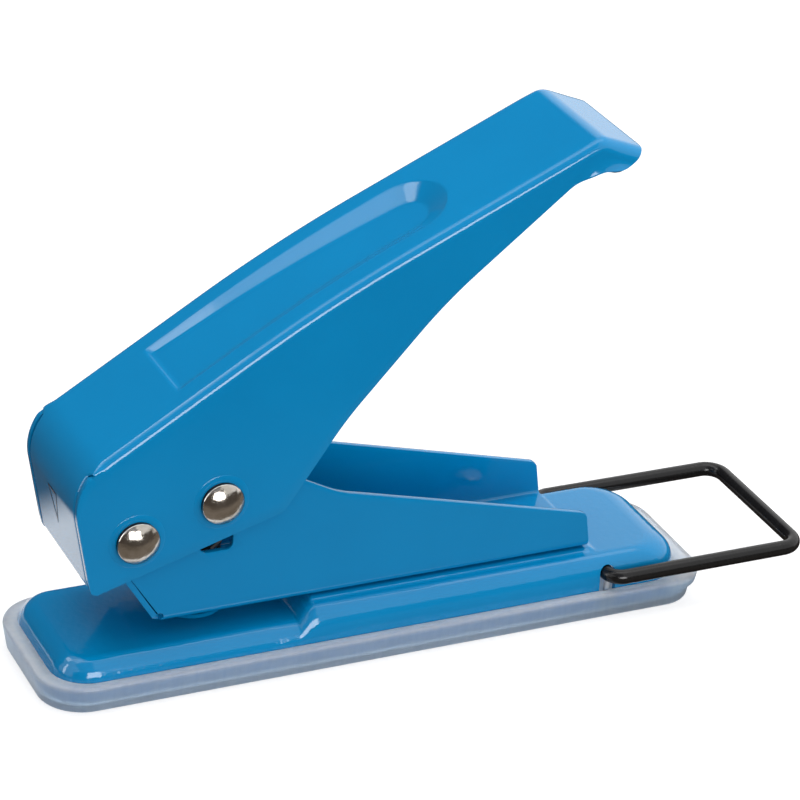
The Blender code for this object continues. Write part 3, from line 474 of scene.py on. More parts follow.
def recessDepth(x, y):
    # the floor, with sloping sides, a steep front step and a rounded rim
    h = handle
    centre, rim = h["recessTo"] - h["recessHalf"], h["recessRim"]
    inside = h["recessHalf"] - np.hypot(y, np.maximum(x - centre, 0))
    front = (x - h["recessFrom"]) * h["recessFrontSlope"]
    sides = softMin(inside * h["recessSlope"], front, h["recessBlends"][0])
    depth = softMin(recessFloor(x), sides, h["recessBlends"][1])
    sunk = -softMin(-depth, 0 * depth, rim) - h["recessSink"]
    return np.where(depth > 0, sunk, 0) * smooth(depth / rim)


def recessColumns(x, flatHalf, shares):
    # across the top: shares of the columns for the recess floor, its slope and the top beside it
    h = handle
    past = np.maximum(x - h["recessTo"] + h["recessHalf"], 0)
    foot = h["recessHalf"] - recessFloor(x) / h["recessSlope"]
    least = h["columnLeast"]
    outer = np.sqrt(np.maximum(h["recessHalf"] ** 2 - past ** 2, least[0] ** 2))[:, None]
    inner = np.sqrt(np.maximum(foot ** 2 - past ** 2, least[1] ** 2))[:, None]
    a, b, c = h["columnShares"]
    v = np.abs(shares)[None, :]
    y = inner * np.clip(v / a, 0, 1) + (outer - inner) * np.clip((v - a) / b, 0, 1)
    return np.sign(shares) * (y + (flatHalf[:, None] - outer) * np.clip((v - a - b) / c, 0, 1))


def frontEdge(top, seamPoint):
    # free front edge of a wall, up the nose: flush with the flap, and dipping at the seam
    h = handle
    down = np.linspace(h["noseFoot"], h["seam"], h["noseRows"])[:-1]
    across = normalsOf(top, down, noseReach)
    rise = smooth((h["seam"] - down) / h["noseEase"])[:, None]
    nose = along(top, down) + across * -h["seamBend"] * (1 - rise)
    return np.concatenate([nose, seamPoint[None, :]])


def makeHandle():
    h = handle
    top = roundPath(h["top"], h["topRounds"], 40)
    total = pathLengths(top)[-1]
    place = h["seam"] + np.linspace(0, 1, h["rows"]) * (total - h["seam"])

    def bendAt(at):
        # radius of the long bends: small at the seam, full soon after it, and softer at the lip
        before, run = h["lipGrows"]
        grown = (h["bend"] - h["seamBend"]) * smooth((at - h["seam"]) / h["bendGrows"])
        softened = (h["lipBend"] - h["bend"]) * smooth((at - total + before) / run)
        return h["seamBend"] + grown + softened

    def bendPoint(at):
        return along(top, at) - bendAt(at)[..., None] * normalsOf(top, at, bendReach)

    bendLine = bendPoint(place)

    # foot of a wall: a round corner under the nose, then along and up to the lip
    front = frontEdge(top, bendLine[0])
    foot = roundPath([front[0]] + list(h["edge"]), h["edgeRounds"])
    footStart = int(np.argmin(foot[:, 0])) + 1
    footPath, front = foot[footStart:], np.concatenate([foot[footStart - 1:0:-1], front])
    lengths = pathLengths(footPath)
    knee = np.interp(h["knee"], bendLine[:, 0], place)
    topPlaces = [knee, total - h["lipSquare"], total]
    footKnee = np.interp(h["knee"], footPath[:, 0], lengths)
    footPlaces = [footKnee, lengths[-1] - h["lipSquare"], lengths[-1]]

    def footAt(at, x):
        # point of the foot for a place on the top: straight below, but square to the lip at the end
        below = np.interp(x, footPath[:, 0], lengths)
        return along(footPath, np.where(at > knee, np.interp(at, topPlaces, footPlaces), below))

    wallV = np.linspace(1, 0, h["wallSteps"] + 1)[:-1]
    bendA = np.linspace(math.pi / 2, 0, h["bendSteps"] + 1)[:-1]
    flatV = np.linspace(0, 1, h["flatSteps"] + 1)
    flatV = np.concatenate([flatV[::-1], -flatV[1:]])
    flatEdge, depth = h["lipWrap"]
    wrap = flatEdge + h["lipBend"] * math.pi / 2

    def pulled(beyond):
        # the lip's corners: rows near the end stop short, the more the farther down the side
        start, share = total - h["lipRun"], np.minimum(1, beyond / (wrap + depth))
        back = h["lipCorner"] * (1 - np.sqrt(1 - share ** 2)) / h["lipRun"]
        rows = place if np.ndim(beyond) == 0 else place[:, None]
        return np.where(rows > start, start + (rows - start) * (1 - back), rows)

    columns, fronts = [], []
    for side in (1, -1):
        half = []
        for v in wallV:
            at = pulled(wrap + depth * v)
            start = bendPoint(at)
            where = start + (footAt(at, start[:, 0]) - start) * v
            spread = smooth((start[:, 0] - h["top"][-1][0] + h["flareLength"]) / h["flareLength"])
            y = h["halfWidth"] + h["flare"] * spread * v * v
            half.append(xyz(where[:, 0], side * y, where[:, 1]))
        for a in bendA:
            at = pulled(flatEdge + h["lipBend"] * a)
            bend = bendAt(at)
            inset = bend[:, None] * normalsOf(top, at, bendReach) * (1 - math.cos(a))
            where = along(top, at) - inset
            y = h["halfWidth"] - bend + bend * math.sin(a)
            half.append(xyz(where[:, 0], side * y, where[:, 1]))
        columns.append(half)
        below = footAt(0 * front[:-1, 0], np.maximum(front[:-1, 0], footPath[0, 0]))
        strip = [front[:-1] + (below - front[:-1]) * v for v in list(wallV) + [0]]
        fronts.append(np.stack([xyz(w[:, 0], side * h["halfWidth"], w[:, 1]) for w in strip], 1))
    across = recessColumns(along(top, place)[:, 0], h["halfWidth"] - bendAt(place), flatV)
    beyond = np.maximum(np.abs(across[-1]) - h["halfWidth"] + h["lipBend"] + flatEdge, 0)
    point = along(top, pulled(beyond))
    flat = xyz(point[..., 0], across, point[..., 1] - recessDepth(point[..., 0], across))
    shell = np.concatenate([np.stack(columns[0], 1), flat, np.stack(columns[1][::-1], 1)], 1)
    index = gridIndex(shell)
    points, faces = [shell.reshape(-1, 3)], [quads(index)]
    count = index.size

    # the walls go on past the seam, round the nose
    for grid, seam in zip(fronts, (index[:1], index[:1, ::-1])):
        own = gridIndex(grid, count)
        faces.append(quads(np.concatenate([own, seam[:, :h["wallSteps"] + 1]])))
        points.append(grid.reshape(-1, 3))
        count += own.size

    # nose flap, from the seam down between the walls
    first, last = len(columns[0]), len(columns[0]) + len(flatV)
    down = np.linspace(h["seam"], 0, h["flapRows"])[1:]
    flapHalf = h["halfWidth"] - h["sheet"] - h["flapGap"]
    seamHalf = h["halfWidth"] - h["seamBend"]
    width = flapHalf + (seamHalf - flapHalf) * (1 - smooth((h["seam"] - down) / h["flapEase"]))
    seamShare = across[0] / seamHalf
    run, dip = h["flapCurl"]
    t = np.clip(1 - (1 - np.abs(seamShare)) * flapHalf / run, 0, 1)
    dip = dip * (1 - np.sqrt(1 - t ** 2)) * smooth((h["seam"] - down) / h["curlEase"])[:, None]
    inward = normalsOf(top, down, noseReach)[:, None]
    flapPoint = along(top, down)[:, None] - dip[..., None] * inward
    flap = xyz(flapPoint[..., 0], width[:, None] * seamShare, flapPoint[..., 1])
    own = gridIndex(flap, count)
    faces.append(quads(np.concatenate([index[:1, first:last], own])))
    points.append(flap.reshape(-1, 3))
    points = placeHandle(np.concatenate(points))
    obj = meshObject("handleShell", points, np.concatenate(faces), paintBlue)
    turnSheetOut(obj)
    thicken(obj, h["sheet"])
    softenEdges(obj, h["edgeBevel"], 55)
    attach(obj, "lever")
    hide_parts("handle")
    return top


def placeHandle(points):
    # handle frame to the model's: turn about y by the tilt, then move to the pivot
    t = math.radians(handle["tilt"])
    x = points[:, 0] * math.cos(t) - points[:, 2] * math.sin(t) + handle["pivot"][0]
    z = points[:, 0] * math.sin(t) + points[:, 2] * math.cos(t) + handle["pivot"][1]
    return xyz(x, points[:, 1], z)


topPath = makeHandle()
print("handle made")


mark = dict(across=1.9, top=12.3, tip=5.9, line=0.16, lineShrink=2.6, lift=0.03, thickness=0.02)


def makeMark():
    # outline of a triangle printed on the flap: two rings of corners, one inside the other
    m = mark
    corners = np.array([(-m["across"], m["top"]), (m["across"], m["top"]), (0, m["tip"])])
    middle = corners.mean(0)
    inner = middle + (corners - middle) * (1 - m["lineShrink"] * m["line"] / m["across"])
    ring = np.concatenate([corners, inner])
    place = along(topPath, ring[:, 1]) + m["lift"] * normalsOf(topPath, ring[:, 1], noseReach)
    points = placeHandle(xyz(place[:, 0], ring[:, 0], place[:, 1]))
    a = np.arange(3)
    faces = np.stack([a, (a + 1) % 3, (a + 1) % 3 + 3, a + 3], 1)
    obj = meshObject("centreMark", points, faces, markInk)
    thicken(obj, m["thickness"], 0)
    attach(obj, "lever")


makeMark()
print("mark made")


# frame
channel = dict(
    halfWidth=9.7, bend=1.5, sheet=0.9, webBottom=11.1, front=-9.6, rear=66.7, footRise=2.7,
    rows=200, wallSteps=10, bendSteps=8, webColumns=25, tongueRows=26,
    slant=122.3, topSlant=35.0, earRound=4.5, rounds=(4.0, 4.0, 20.0, 1.5), humpTop=38.6,
    humpFront=-6.8, humpRear=3.6, waist=(21.0, 29.4), rearTop=17.8, rearLean=0.8, rearStart=0.6,
    webFront=-8.4, tongueX=-9.25, tongueLength=10.5, tongueRound=1.1, tongueHalf=9.55,
    tongueSpread=(0.9, 0.9), slotX=(-2.5, 0.3, 3.1), slotZ=(22.52, 35.06), slotRound=1.2,
    relief=(-8.8, 12.35, 0.65), reliefHalf=1.0, guideHole=4.95, edgeBevel=0.14)


def earOutline():
    # from the foot of the front edge, round the pivot, over the hump and down the long slope
    c = channel
    into, out = math.radians(c["slant"]), math.radians(c["topSlant"])
    first = np.array([-math.sin(into), math.cos(into)])
    second = np.array([-math.sin(out), math.cos(out)])
    nose = np.array(handle["pivot"]) + c["earRound"] * (first + second) / (1 + first @ second)
    foot = c["webBottom"] + c["bend"]
    low = (c["front"] + (c["footRise"] - c["bend"]) / math.tan(math.pi - into), foot)
    corners = [low, nose, (c["humpFront"], c["humpTop"]), (c["humpRear"], c["humpTop"]), c["waist"],
               (c["rear"] - c["rearLean"], c["rearTop"]), (c["rear"], foot)]
    return roundPath(corners, (c["earRound"], *c["rounds"]))


def makeChannel():
    c = channel
    outline = earOutline()
    lengths = pathLengths(outline)
    rows = np.linspace(0, 1, c["rows"])
    rearStart = lengths[-1] - (c["rearTop"] - c["webBottom"] - c["bend"]) + c["rearStart"]
    upper = along(outline, rows * rearStart)
    lowerX = c["webFront"] + (c["rear"] - c["webFront"]) * rows
    lowerZ = c["webBottom"] + c["bend"]
    columns = []
    for side in (1, -1):
        half = []
        for v in np.linspace(1, 0, c["wallSteps"] + 1)[:-1]:
            x = lowerX + (upper[:, 0] - lowerX) * v
            z = lowerZ + (upper[:, 1] - lowerZ) * v
            half.append(xyz(x, side * c["halfWidth"], z))
        for a in np.linspace(0, math.pi / 2, c["bendSteps"] + 1)[:-1]:
            y = c["halfWidth"] - c["bend"] * (1 - math.cos(a))
            z = lowerZ - c["bend"] * math.sin(a)
            half.append(xyz(lowerX, side * y, z))
        columns.append(half)
    flatHalf = c["halfWidth"] - c["bend"]
    flatV = np.linspace(1, -1, c["webColumns"])
    web = [xyz(lowerX, flatHalf * v, c["webBottom"]) for v in flatV]
    shell = np.stack(columns[0] + web + columns[1][::-1], 1)
    index = gridIndex(shell)
    faces = quads(index)

    # tongue bent up before the ears
    lean = math.radians(c["slant"])
    foot, run, start = (c["tongueX"], c["webBottom"]), c["tongueLength"], c["webFront"]
    tip = (foot[0] + run * math.cos(lean), foot[1] + run * math.sin(lean))
    tongue = roundPath([(start, c["webBottom"]), foot, tip], (c["tongueRound"],), 8)[1:]
    first, last = len(columns[0]), len(columns[0]) + len(flatV)
    places = np.linspace(0, pathLengths(tongue)[-1], c["tongueRows"])
    line = along(tongue, places)
    begin, run = c["tongueSpread"]
    wide = flatHalf + (c["tongueHalf"] - flatHalf) * smooth((places - begin) / run)
    points = xyz(line[:, :1], wide[:, None] * flatV, line[:, 1:])
    joined = np.concatenate([index[:1, first:last], gridIndex(points, index.size)])
    faces = np.concatenate([faces, quads(joined)[:, ::-1]])
    points = np.concatenate([shell.reshape(-1, 3), points.reshape(-1, 3)])
    obj = meshObject("channelSheet", points, faces, paintBlue)
    turnSheetOut(obj, -1)
    thicken(obj, c["sheet"])

    # slots for the drive rivet, notches at the tongue's foot and the hole for the guide
    (x0, middle, x1), (z0, z1) = c["slotX"], c["slotZ"]
    corners = [(middle, z0), (x1, z0), (x1, z1), (x0, z1), (x0, z0), (middle, z0)]
    slot = roundPath(corners, (c["slotRound"],) * 4, 8)[:-1]
    a = aroundRing(20)
    x, z, r = c["relief"]
    notch = np.stack([x + r * np.cos(a), z + r * np.sin(a)], -1)
    web = c["webBottom"]
    cut(obj, [sidePlate("slotTool", slot, c["halfWidth"] + overrun),
              sidePlate("reliefNear", notch, c["reliefHalf"], -c["halfWidth"]),
              sidePlate("reliefFar", notch, c["reliefHalf"], c["halfWidth"]),
              drill("guideHole", c["guideHole"], web - overrun, web + overrun)])
    softenEdges(obj, c["edgeBevel"], 55)
    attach(obj, "base")
    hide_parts("frame_channel")


makeChannel()
print("frame made")


# base pan
base = dict(
    front=-25.8, rear=84.1, halfWidth=13.0, corner=6.0, rearCorner=7.0, edge=3.0, rearEdge=5.5,
    fall=4.2, table=7.8, top=10.3, foot=1.3, sheet=0.9, stop=(14.2, 16.5), stopBlend=0.45,
    stopEase=0.12, spread=5.0, land=0.5, landHalf=9.2, landSlope=0.8, landFront=17.2, landRear=67.5,
    bailX=69.2, bailZ=7.4, slotRadius=1.45, dieHole=4.5, edgeBevel=0.14, columns=49,
    rows=((-19, 13.4, 40), (13.8, 18.4, 26), (19, 66, 50), (66.5, 74, 18)))


def roundedRectangle(front, rear, half, frontCorner, rearCorner, stations):
    # places along x and the half width at each: corner arcs at both ends, stations between
    a = np.linspace(0, math.pi / 2, 15)
    x = np.concatenate([front + frontCorner * (1 - np.cos(a)), stations,
                        rear - rearCorner * (1 - np.sin(a))])
    w = np.concatenate([half - frontCorner * (1 - np.sin(a)), np.full(len(stations), half),
                        half - rearCorner * (1 - np.cos(a))])
    return x, w


def rimIndex(index):
    # the points round a grid, in order
    return np.concatenate([index[:, 0], index[-1, 1:], index[-2::-1, -1], index[0, -2:0:-1]])


def tableHeight(x, spread=0):
    # the ramp that stops the paper, drawn out at both ends by the spread
    b = base
    share = (x - b["stop"][0] + spread) / (b["stop"][1] - b["stop"][0] + 2 * spread)
    rise = softMin(np.clip(share, 0, 2), 1 + 0 * share, b["stopBlend"])
    return b["table"] + (b["top"] - b["table"]) * rise * smooth(share / b["stopEase"])


def baseHeight(x, y):
    # table, ramp and the raised seat of the frame
    b = base
    ends = np.minimum(x - b["landFront"], b["landRear"] - x) / b["landSlope"]
    sides = (b["landHalf"] + b["landSlope"] - np.abs(y)) / b["landSlope"]
    return tableHeight(x) + b["land"] * smooth(np.minimum(ends + 1, sides))


def baseOutline(inset, stations):
    b = base
    rear = b["rear"] - inset * b["rearEdge"] / b["edge"]
    return roundedRectangle(b["front"] + inset, rear, b["halfWidth"] - inset, b["corner"] - inset,
                            b["rearCorner"] - inset, stations)


def makeBase():
    b = base
    stations = np.concatenate([np.linspace(*run) for run in b["rows"]])
    shares = np.linspace(-1, 1, b["columns"])
    x, w = baseOutline(b["edge"], stations)
    gridX, gridY = x[:, None], w[:, None] * shares
    grid = xyz(gridX, gridY, baseHeight(gridX, gridY))
    index = gridIndex(grid)
    points, faces = [grid.reshape(-1, 3)], [quads(index)]
    border = rimIndex(index)
    count = index.size

    # round edge: the outline grows as it falls, and the ramp spreads; then the wall to the foot
    rings = []
    for a in np.linspace(0, math.pi / 2, 15)[1:]:
        x, w = baseOutline(b["edge"] * (1 - math.sin(a)), stations)
        ringX, ringY = x[:, None], w[:, None] * shares
        low = 1 - math.cos(a)
        drop = b["fall"] * low
        level = tableHeight(ringX) * (1 - low) + tableHeight(ringX, b["spread"]) * low
        rings.append(xyz(ringX, ringY, level - drop))
    last = rings[-1]
    for share in (0.25, 0.5, 0.75, 1.0):
        ring = last.copy()
        ring[..., 2] += (b["foot"] - last[..., 2]) * share
        rings.append(ring)
    for ring in rings:
        line = ring.reshape(-1, 3)[rimIndex(index)]
        current = count + np.arange(len(line))
        faces.append(band(border, current))
        points.append(line)
        border, count = current, count + len(line)
    obj = meshObject("pressedBase", np.concatenate(points), np.concatenate(faces), paintBase)
    turnSheetOut(obj)
    thicken(obj, b["sheet"])

    # arched slots for the bail, open at the foot, and the hole for the die
    a, x, r = np.linspace(0, math.pi, 25), b["bailX"], b["slotRadius"]
    arch = np.stack([x + r * np.cos(a), b["bailZ"] + r * np.sin(a)], -1)
    outline = np.concatenate([arch, [[x - r, -overrun], [x + r, -overrun]]])
    cut(obj, [sidePlate("bailSlots", outline, b["halfWidth"] + overrun),
              drill("dieHole", b["dieHole"], b["table"] - overrun, b["table"] + overrun)])
    softenEdges(obj, b["edgeBevel"], 60)
    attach(obj, "base")
    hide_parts("base_pan")


makeBase()
print("base made")


# chip tray
def makeTray():
    t = tray
    stations = np.linspace(*t["rows"])
    shares = np.linspace(-1, 1, t["columns"])

    def outer(inset, z=t["height"]):
        # the body of the tray stops short of the ledge at its rear
        rear = t["rear"] - t["ledge"] * (z < t["ledgeFrom"])
        return roundedRectangle(t["front"] + inset, rear - inset, t["halfWidth"] - inset,
                                t["frontCorner"] - inset, t["rearCorner"] - inset, stations)

    def mouth():
        gap = t["gap"]
        return roundedRectangle(base["front"] - gap, base["rear"] + gap, base["halfWidth"] + gap,
                                base["corner"] + gap, base["rearCorner"] + gap, stations)

    # section from the floor inside, up the wall, round the bead, over the rim and down outside
    e, height, draft = t["edge"], t["height"], t["draft"]
    inside, lip, (under, over) = t["wall"] + draft / 2, height - t["bead"], t["beadRounds"]
    arc = np.linspace(0, math.pi / 2, 6)
    section = [(outer(inside + e, 0), t["floor"]), (outer(inside, 0), t["floor"] + e),
               (outer(t["wall"], 0), lip - under), (mouth(), lip + over),
               (mouth(), height - under), (mouth(), height)]
    section += [(outer(e * (1 - math.sin(a))), height - e * (1 - math.cos(a))) for a in arc]
    down = [(draft * s, height - e - (height - 2 * e) * s) for s in t["sideShares"]]
    section += [(outer(inset, z), z) for inset, z in down]
    section += [(outer(draft + e * (1 - math.cos(a)), 0), e * (1 - math.sin(a))) for a in arc]
    index = np.arange(len(section[0][0][0]) * len(shares)).reshape(-1, len(shares))
    points, faces = [], []

    def sheetAt(outline, z):
        x, w = outline
        return xyz(x[:, None], w[:, None] * shares, z).reshape(-1, 3)

    points.append(sheetAt(*section[0]))
    faces.append(quads(index))
    border, count = rimIndex(index), index.size
    for outline, z in section[1:-1]:
        line = sheetAt(outline, z)[rimIndex(index)]
        current = count + np.arange(len(line))
        faces.append(band(border, current))
        points.append(line)
        border, count = current, count + len(line)
    points.append(sheetAt(*section[-1]))
    foot = index + count
    faces += [band(border, rimIndex(foot)), quads(foot)[:, ::-1]]
    count += index.size

    # two posts that prop the ends of the bail: bars of a rounded square section, whose sides are
    # the cosine and sine of the angle to a power under one, narrower at the top
    a = aroundRing(24)
    top, (first, second) = t["postTop"], t["postDrops"]
    levels = np.array([*t["postFoot"], top - first, top - second, top])
    narrow = np.array(t["postShares"])[:, None]
    squareX, squareY = (np.sign(f) * np.abs(f) ** t["postSquare"] for f in (np.cos(a), np.sin(a)))
    for side in (-1, 1):
        x, y = t["postX"], side * t["postY"]
        bar = xyz(x + t["post"][0] * narrow * squareX, y + t["post"][1] * narrow * squareY,
                  levels[:, None])
        own = gridIndex(bar, count)
        points += [bar.reshape(-1, 3), [[x, y, z] for z in (levels[0], levels[-1])]]
        faces.append(quads(own, wrap=True))
        for ring, middle in ((own[0], own.size), (own[-1], own.size + 1)):
            faces.append(np.stack([ring, np.roll(ring, -1), np.full(24, count + middle)], 1))
        count += own.size + 2
    faces = [face for part in faces for face in part.tolist()]
    obj = meshObject("mouldedTray", np.concatenate(points), faces, trayPlastic)
    flipOutwards(obj)
    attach(obj, "tray")
    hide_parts("chip_tray")


makeTray()
print("tray made")


# rivets and die ring
rivet = dict(
    # the collar sizes are of the dark ring of painted shade under each head
    shank=2.0, head=3.5, rise=1.40, under=12.4, rim=0.2, drive=(0.0, 32.46), shadeCollar=3.42,
    shadeCollarFoot=11.8, shadeCollarGap=0.1,
    seat=((2.1, 11.6), (2.1, 11.86), (3.5, 11.84), (4.0, 11.79), (4.5, 11.73), (4.9, 11.6),
          (2.1, 11.6)))


def domeProfile(radius, rise, start, rim):
    # crown to rim: a cap of the sphere R = (r r + h h) / 2h, with a small round at the rim
    cap = rise - rim
    sphere = (radius ** 2 + cap ** 2) / (2 * cap)
    a = np.linspace(0, math.asin(radius / sphere), 16)[:-1]
    upper = np.stack([sphere * np.sin(a), start + rise - sphere * (1 - np.cos(a))], -1)
    b = np.linspace(0, math.pi / 2, 5)
    lower = np.stack([radius - rim * (1 - np.cos(b)), start + rim * (1 - np.sin(b))], -1)
    return np.concatenate([upper, lower])


def makeRivet(name, place, node):
    r = rivet
    head = domeProfile(r["head"], r["rise"], r["under"], r["rim"])
    shank = [[r["shank"], r["under"]], [r["shank"], -r["under"]]]
    profile = np.concatenate([head, shank, (head * (1, -1))[::-1]])
    obj = turned(name, profile, (place[0], 0, place[1]), nickel, axis="y")
    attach(obj, "lever")
    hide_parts(node)


def makeSeat(name, place, side, node):
    # ring under a head, with the low dimple that the press leaves round it
    profile = np.array(rivet["seat"]) * (1, side)
    obj = turned(name, profile, (place[0], 0, place[1]), paintBlue, axis="y")
    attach(obj, "lever")
    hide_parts(node)


def makeShadeCollar(name, place):
    # dark ring between each head and its seat: painted shade, standing for the shadow in the gap
    # under the head
    r = rivet
    inner, outer, high, low = r["shank"] + r["shadeCollarGap"], r["shadeCollar"], r["under"], r["shadeCollarFoot"]
    half = np.array([(inner, high), (outer, high), (outer, low), (inner, low)])
    profile = np.concatenate([half, (half * (1, -1))[::-1], half[:1]])
    obj = turned(name, profile, (place[0], 0, place[1]), blackSteelAndShade, axis="y")
    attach(obj, "lever")


for kind, place in (("pivot", handle["pivot"]), ("drive", rivet["drive"])):
    makeRivet(kind + "Rivet", place, kind + "_rivet")
    # a dark ring of painted shade under each head
    makeShadeCollar(kind + "ShadeCollar", place)
    makeSeat(kind + "SeatNear", place, -1, kind + "_washer_near")
    makeSeat(kind + "SeatFar", place, 1, kind + "_washer_far")
print("rivets made")


# bail
bail = dict(pivotX=69.2, height=7.4, reach=35.8, halfWidth=14.55, inner=9.9, radius=1.25, bend=3.1,
            hip=2.45, rows=150, sides=32, endShares=(0.0, 0.72, 0.93, 1.0))


def makeBail():
    # a ring of the wire's radius carried along the bent line, square to it
    w = bail
    near, reach = -w["halfWidth"], w["reach"]
    corners = [(0, -w["inner"]), (0, near), (reach, near), (reach, 0)]
    half = roundPath(corners, (w["hip"], w["bend"]), 16)[:-1]
    half = along(half, np.linspace(0, pathLengths(half)[-1], w["rows"]))
    line = np.concatenate([half, half[::-1] * (1, -1)])
    ahead = np.gradient(line, axis=0)
    ahead /= np.linalg.norm(ahead, axis=1, keepdims=True)
    side = xyz(-ahead[:, 1], ahead[:, 0], 0.0)
    centre = xyz(line[:, 0] + w["pivotX"], line[:, 1], w["height"])
    a = aroundRing(w["sides"])
    ends = w["radius"] * np.array(w["endShares"])
    radius = np.full(len(line), w["radius"])
    radius[:len(ends)], radius[-len(ends):] = ends, ends[::-1]
    ring = radius[:, None, None] * (side[:, None, :] * np.cos(a)[None, :, None]
                                    + np.array([0, 0, 1.0]) * np.sin(a)[None, :, None])
    points = centre[:, None, :] + ring
    run, around = pathLengths(line)[:, None], (np.abs(a - math.pi) * w["radius"])[None, :]
    uv = np.stack(np.broadcast_arrays(run * mm, around * mm), -1).reshape(-1, 2)
    faces = quads(gridIndex(points), wrap=True)
    obj = meshObject("bentWire", points.reshape(-1, 3), faces, blackWire, uv)
    flipOutwards(obj)
    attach(obj, "bail")
    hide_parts("lock_bail")


makeBail()
print("bail made")


# finishes of the CAD pieces that stay
# the punch, its guide, the sleeves and the spring washer are blackened steel, dark also so that
# what shows of them in the slots reads as painted shade
finishes = dict(
    die_bush=paintBlue, frame_rivet_front=nickel, frame_rivet_rear=nickel, punch_guide=blackSteelAndShade,
    punch_pin=blackSteelAndShade, spring_washer=blackSteelAndShade, return_spring=springSteel,
    pivot_sleeve=blackSteelAndShade, drive_sleeve=blackSteelAndShade)
for node, material in finishes.items():
    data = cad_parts[node].data
    data.materials.clear()
    data.materials.append(material)
print("finishes set")


# studio
camera = dict(azimuth=-26.25, elevation=27.14, roll=3.95, place=(-169.85, -415.58, 276.33),
              lens=146.46, sensor=36, clip=(0.01, 10))


def makeCamera():
    c = camera
    a, e, r = (math.radians(c[k]) for k in ("azimuth", "elevation", "roll"))
    back = np.array([math.sin(a) * math.cos(e), -math.cos(a) * math.cos(e), math.sin(e)])
    right = np.array([math.cos(a), math.sin(a), 0])
    up = np.cross(back, right)
    right, up = math.cos(r) * right + math.sin(r) * up, -math.sin(r) * right + math.cos(r) * up
    data = bpy.data.cameras.new("camera")
    data.lens, data.sensor_width = c["lens"], c["sensor"]
    data.clip_start, data.clip_end = c["clip"]
    obj = addObject("camera", data)
    matrix = np.eye(4)
    matrix[:3, 0], matrix[:3, 1], matrix[:3, 2] = right, up, back
    matrix[:3, 3] = np.array(c["place"]) * mm
    obj.matrix_world = Matrix(matrix.tolist())
    scene.camera = obj


def lightPath(tree):
    # 1 for camera, glossy and transmission rays
    path = tree.nodes.new("ShaderNodeLightPath")
    total = path.outputs["Is Camera Ray"]
    for name in ("Is Glossy Ray", "Is Transmission Ray"):
        add = tree.nodes.new("ShaderNodeMath")
        add.operation = "MAXIMUM"
        tree.links.new(total, add.inputs[0])
        tree.links.new(path.outputs[name], add.inputs[1])
        total = add.outputs[0]
    return total


# lengths of the studio are metres
studio = dict(
    floor=(0.38, 0.38, 0.385), floorHalf=3.0, floorDrop=0.0001, floorRoughness=0.8, floorShine=0.1,
    floorLift=0.70, world=(0.12, 1.14), worldFade=(-0.9, 0.1), holeFade=(0.95, 1.35))
tones = dict(white=(1.0, 1.0, 1.0), dark=(0.09, 0.09, 0.10), brown=(0.075, 0.062, 0.052),
             near=(0.21, 0.18, 0.15))


def makeFloor():
    # pale floor, lifted to white where it shows; it keeps the shadow
    mesh = bpy.data.meshes.new("floor")
    s = studio["floorHalf"]
    mesh.from_pydata([(-s, -s, 0), (s, -s, 0), (s, s, 0), (-s, s, 0)], [], [(0, 1, 2, 3)])
    material, tree = nodeMaterial("paleFloor")
    shader = tree.nodes["Principled BSDF"]
    shader.inputs["Base Color"].default_value = (*studio["floor"], 1)
    shader.inputs["Roughness"].default_value = studio["floorRoughness"]
    shader.inputs["Specular IOR Level"].default_value = studio["floorShine"]
    shader.inputs["Emission Color"].default_value = (1, 1, 1, 1)
    lift = rangeOn(tree, lightPath(tree), 0.0, studio["floorLift"])
    tree.links.new(lift, shader.inputs["Emission Strength"])
    mesh.materials.append(material)
    floor = addObject("floor", mesh)
    floor.location.z = -studio["floorDrop"]


def makeLamp(name, place, aim, size, strength):
    # lamps light the surfaces and do not show in the gloss, where the cards stand for them
    data = bpy.data.lights.new(name, "AREA")
    data.shape = "RECTANGLE"
    data.size, data.size_y = size
    data.energy = strength * math.pi * size[0] * size[1]
    obj = addObject(name, data)
    obj.location = Vector(place)
    obj.rotation_euler = (Vector(aim) - Vector(place)).to_track_quat("-Z", "Y").to_euler()
    obj.visible_camera = obj.visible_glossy = False


